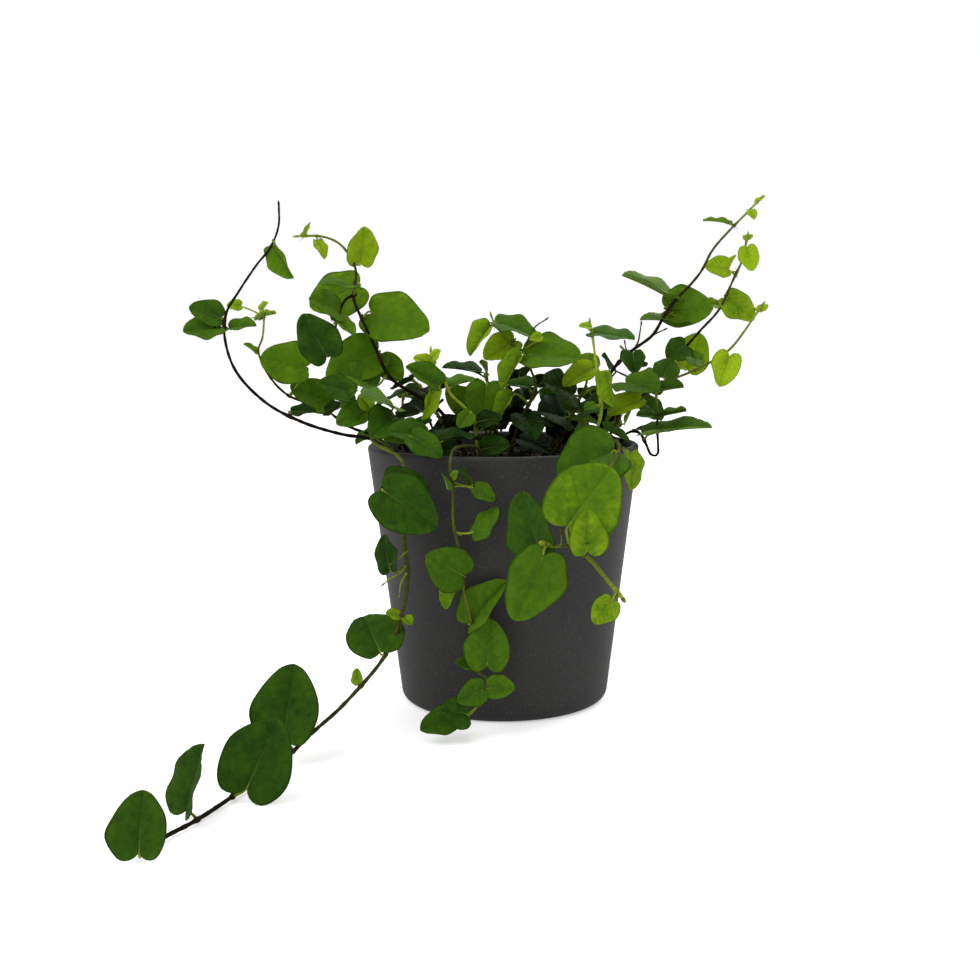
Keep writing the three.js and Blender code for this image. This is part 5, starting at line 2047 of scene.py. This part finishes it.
@dataclass(frozen=True)
class Pot:
    """The plain conical pot with its rounded lip and foot."""

    sizes: PotSizes = POT
    sides: int = 160
    wall_rings: int = 26
    foot_out: float = 0.4

    def profile(self) -> np.ndarray:
        """Radius and height round the pot's wall, from its underside to its floor.

        Returns:
            The profile's points.
        """
        s = self.sizes
        slope = math.degrees(math.atan2(s.rim_radius - s.base_radius, s.height))
        top = s.height - s.lip_round
        foot_centre = (s.base_radius - s.foot_round + self.foot_out, s.foot_round)
        foot = arc(foot_centre, s.foot_round, -90, -slope, 8)
        lip = arc((s.outer(top) - s.lip_round, top), s.lip_round, -slope, 90, 10)
        inside = arc((s.inner(top) + s.lip_round, top), s.lip_round, 90, 180 - slope, 8)
        low, high = foot[-1], lip[0]
        heights = np.linspace(low[1], high[1], self.wall_rings)[1:-1]
        wall = [(low[0] + (high[0] - low[0]) * (z - low[1]) / (high[1] - low[1]), z) for z in heights]
        bowl = [(s.inner(s.floor + 3), s.floor + 3), (s.inner(s.floor) - 3, s.floor)]
        return np.array([(0.0, 0.0), *foot, *wall, *lip, *inside, *bowl, (0.0, s.floor)])

    def build(self, material: bpy.types.Material) -> None:
        """Makes the pot and sets it on the frame.

        Args:
            material: Its finish.
        """
        skin = Skin()
        skin.add(*lathe(self.profile(), self.sides))
        seat(skin.dress("pot_body", [material], 40), "pot")


@dataclass(frozen=True)
class Soil:
    """The potting soil, crumbled on top and cut off at the pot's inner wall."""

    sizes: PotSizes = POT
    sides: int = 120
    top_rings: int = 34
    crumbs: int = 420
    crumb_least: float = 0.5
    crumb_spread: float = 2.0
    fibres: int = 70
    fibre_reach: float = 46
    fibre_limit: float = 52
    fibre_radius: float = 0.16
    relief: float = 0.8
    seed: int = 11

    def swell(self, x: np.ndarray, y: np.ndarray) -> np.ndarray:
        """The soft mounds that the part's source gives the soil."""
        return self.sizes.soil_bump * (np.sin(0.31 * x + 0.7) * np.cos(0.27 * y) + 0.5 * np.sin(0.6 * y))

    def bed(self) -> tuple[np.ndarray, list[tuple[int, ...]]]:
        """The soil's body with its crumbly top.

        Returns:
            Its points and faces.
        """
        s = self.sizes
        floor = s.floor + s.gap
        edge = s.inner(s.soil_top) - s.gap - 0.1
        wall = [(0.0, floor), (s.inner(floor) - 3.6, floor), (s.inner(floor + 3) - 0.45, floor + 3)]
        radii = np.linspace(edge, 0, self.top_rings + 1)
        top = [(edge, s.soil_top - 1.2), *((r, s.soil_top) for r in radii[1:])]
        points, faces = lathe(np.array([*wall, *top]), self.sides)
        x, y, z = points.T
        on_top = z > s.soil_top - 0.5
        rough = np.sin(1.9 * x + 2.3 * np.sin(0.8 * y)) * np.sin(2.2 * y + 1.7 * np.sin(0.9 * x))
        rough += 0.5 * np.sin(4.1 * x + y) * np.cos(3.7 * y - x)
        rise = self.swell(x, y) + self.relief * 0.6 * rough
        fade = np.clip((edge - np.hypot(x, y)) / 4, 0, 1)
        points[:, 2] = np.where(on_top, z + rise * fade - 0.8 * (1 - fade), z)
        return points, faces

    def crumb(self, skin: Skin, chance: np.random.Generator) -> None:
        """Adds one lump of soil.

        Args:
            skin: Where it goes.
            chance: The soil's chances.
        """
        s = self.sizes
        size = self.crumb_least + self.crumb_spread * chance.random() ** 3
        r = (s.inner(s.soil_top) - 2.2 - size) * math.sqrt(chance.random())
        t = chance.random() * 2 * math.pi
        x, y = r * math.cos(t), r * math.sin(t)
        z = s.soil_top + float(self.swell(np.array(x), np.array(y))) + size * 0.3
        poles = np.outer(np.linspace(-0.9, 0.9, 6), [0, 0, 1])
        ball, faces = tube(poles, np.array([0.4, 0.8, 1, 1, 0.8, 0.4]), 8)
        lumps = 1 + 0.25 * np.sin(ball @ chance.normal(size=3) * 3) + 0.1 * chance.normal(size=len(ball))
        squeeze = 0.7 + 0.6 * chance.random(3)
        skin.add(np.array([x, y, z]) + ball * lumps[:, None] * squeeze * size, faces)

    def fibre(self, skin: Skin, chance: np.random.Generator) -> None:
        """Adds one thin root fibre that lies on the soil.

        Args:
            skin: Where it goes.
            chance: The soil's chances.
        """
        r, t = self.fibre_reach * math.sqrt(chance.random()), chance.random() * 2 * math.pi
        turn, length = chance.random() * 2 * math.pi, 4 + 7 * chance.random()
        share = np.linspace(-0.5, 0.5, 7)
        bend = turn + share * chance.normal()
        x = r * math.cos(t) + length * share * np.cos(bend)
        y = r * math.sin(t) + length * share * np.sin(bend)
        z = self.sizes.soil_top + self.swell(x, y) + 0.9 - 3 * share**2
        if np.hypot(x, y).max() < self.fibre_limit:
            skin.add(*tube(np.column_stack([x, y, z]), np.full(7, self.fibre_radius), 5))

    def build(self, material: bpy.types.Material) -> None:
        """Makes the soil bed and its loose crumbs and sets them on the frame.

        Args:
            material: Their finish.
        """
        chance = np.random.default_rng(self.seed)
        bed, loose = Skin(), Skin()
        bed.add(*self.bed())
        seat(bed.dress("soil_bed", [material], 60), "soil")
        for _ in range(self.crumbs):
            self.crumb(loose, chance)
        for _ in range(self.fibres):
            self.fibre(loose, chance)
        seat(loose.dress("soil_crumbs", [material], 70), "soil")


@dataclass(frozen=True)
class Studio:
    """The pale floor, the soft lights and the camera at the photograph's angle."""

    image_size: float = 980
    focal_pixels: float = 1290
    sensor: float = 36
    eye: Row = (0.0, -0.570, 0.170)
    pitch: float = 7.7
    yaw: float = -0.6
    roll: float = -0.4
    floor_size: float = 12
    sky: float = 1.0
    aim: Row = (0.0, -0.03, 0.1)
    softboxes: tuple[tuple[str, Row, float, float], ...] = (
        ("key_softbox", (-0.7, -0.55, 1.0), 0.9, 9.0),
        ("back_softbox", (0.5, 0.75, 0.9), 0.9, 12.0),
    )

    def build(self) -> None:
        """Sets up floor, sky, lights and camera."""
        self.floor()
        self.world()
        for softbox in self.softboxes:
            self.lamp(*softbox)
        self.camera()

    def floor(self) -> None:
        """Lays the pale floor."""
        half = self.floor_size / 2
        mesh = bpy.data.meshes.new("floor")
        corners = [(-half, -half, 0), (half, -half, 0), (half, half, 0), (-half, half, 0)]
        mesh.from_pydata(corners, [], [(0, 1, 2, 3)])
        mesh.materials.append(FloorFinish().material())
        floor = bpy.data.objects.new("floor", mesh)
        bpy.context.scene.collection.objects.link(floor)

    def world(self) -> None:
        """Gives an even white sky."""
        world = bpy.data.worlds.new("studio_sky")
        world.use_nodes = True
        sockets = world.node_tree.nodes["Background"].inputs
        sockets["Color"].default_value = (1, 1, 1, 1)
        sockets["Strength"].default_value = self.sky
        bpy.context.scene.world = world
        bpy.context.scene.view_settings.view_transform = "Standard"

    def lamp(self, name: str, place: Row, size: float, power: float) -> None:
        """Hangs a square softbox that faces the plant.

        Args:
            name: Its name.
            place: Where it hangs, in metres.
            size: Its side, in metres.
            power: Its power, in watts.
        """
        light = bpy.data.lights.new(name, "AREA")
        light.size, light.energy = size, power
        lamp = bpy.data.objects.new(name, light)
        lamp.location = place
        way = Vector(self.aim) - Vector(place)
        lamp.rotation_euler = way.to_track_quat("-Z", "Y").to_euler()
        bpy.context.scene.collection.objects.link(lamp)

    def camera(self) -> None:
        """Places the camera from the photograph's viewing angles."""
        data = bpy.data.cameras.new("camera")
        data.sensor_width = self.sensor
        data.lens = self.focal_pixels / self.image_size * self.sensor
        data.clip_start = 0.01
        camera = bpy.data.objects.new("camera", data)
        p, w, r = (math.radians(x) for x in (self.pitch, self.yaw, self.roll))
        ahead = np.array([math.cos(p) * math.sin(w), math.cos(p) * math.cos(w), -math.sin(p)])
        right = np.array([math.cos(w), -math.sin(w), 0])
        upright = np.cross(right, ahead)
        across = right * math.cos(r) + upright * math.sin(r)
        up = upright * math.cos(r) - right * math.sin(r)
        turn = Matrix(np.column_stack([across, up, -ahead]).tolist()).to_4x4()
        camera.matrix_world = Matrix.Translation(self.eye) @ turn
        bpy.context.scene.collection.objects.link(camera)
        bpy.context.scene.camera = camera


def main() -> None:
    """Builds the plant's pieces in order, then the studio."""
    logging.basicConfig(level=logging.INFO, format="%(name)s: %(message)s")
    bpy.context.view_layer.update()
    Studio().build()
    Pot().build(PotFinish().material())
    Soil().build(SoilFinish().material())
    faces = (LEAF_UPPER, LEAF_UNDER)
    leaf_materials = [face.material(age) for face in faces for age in LEAF_AGES]
    stalk = StalkFinish().material()
    for growth in plan_growth():
        LeafyStem(growth).build(leaf_materials, stalk)
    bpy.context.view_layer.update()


if __name__ == "__main__":
    main()
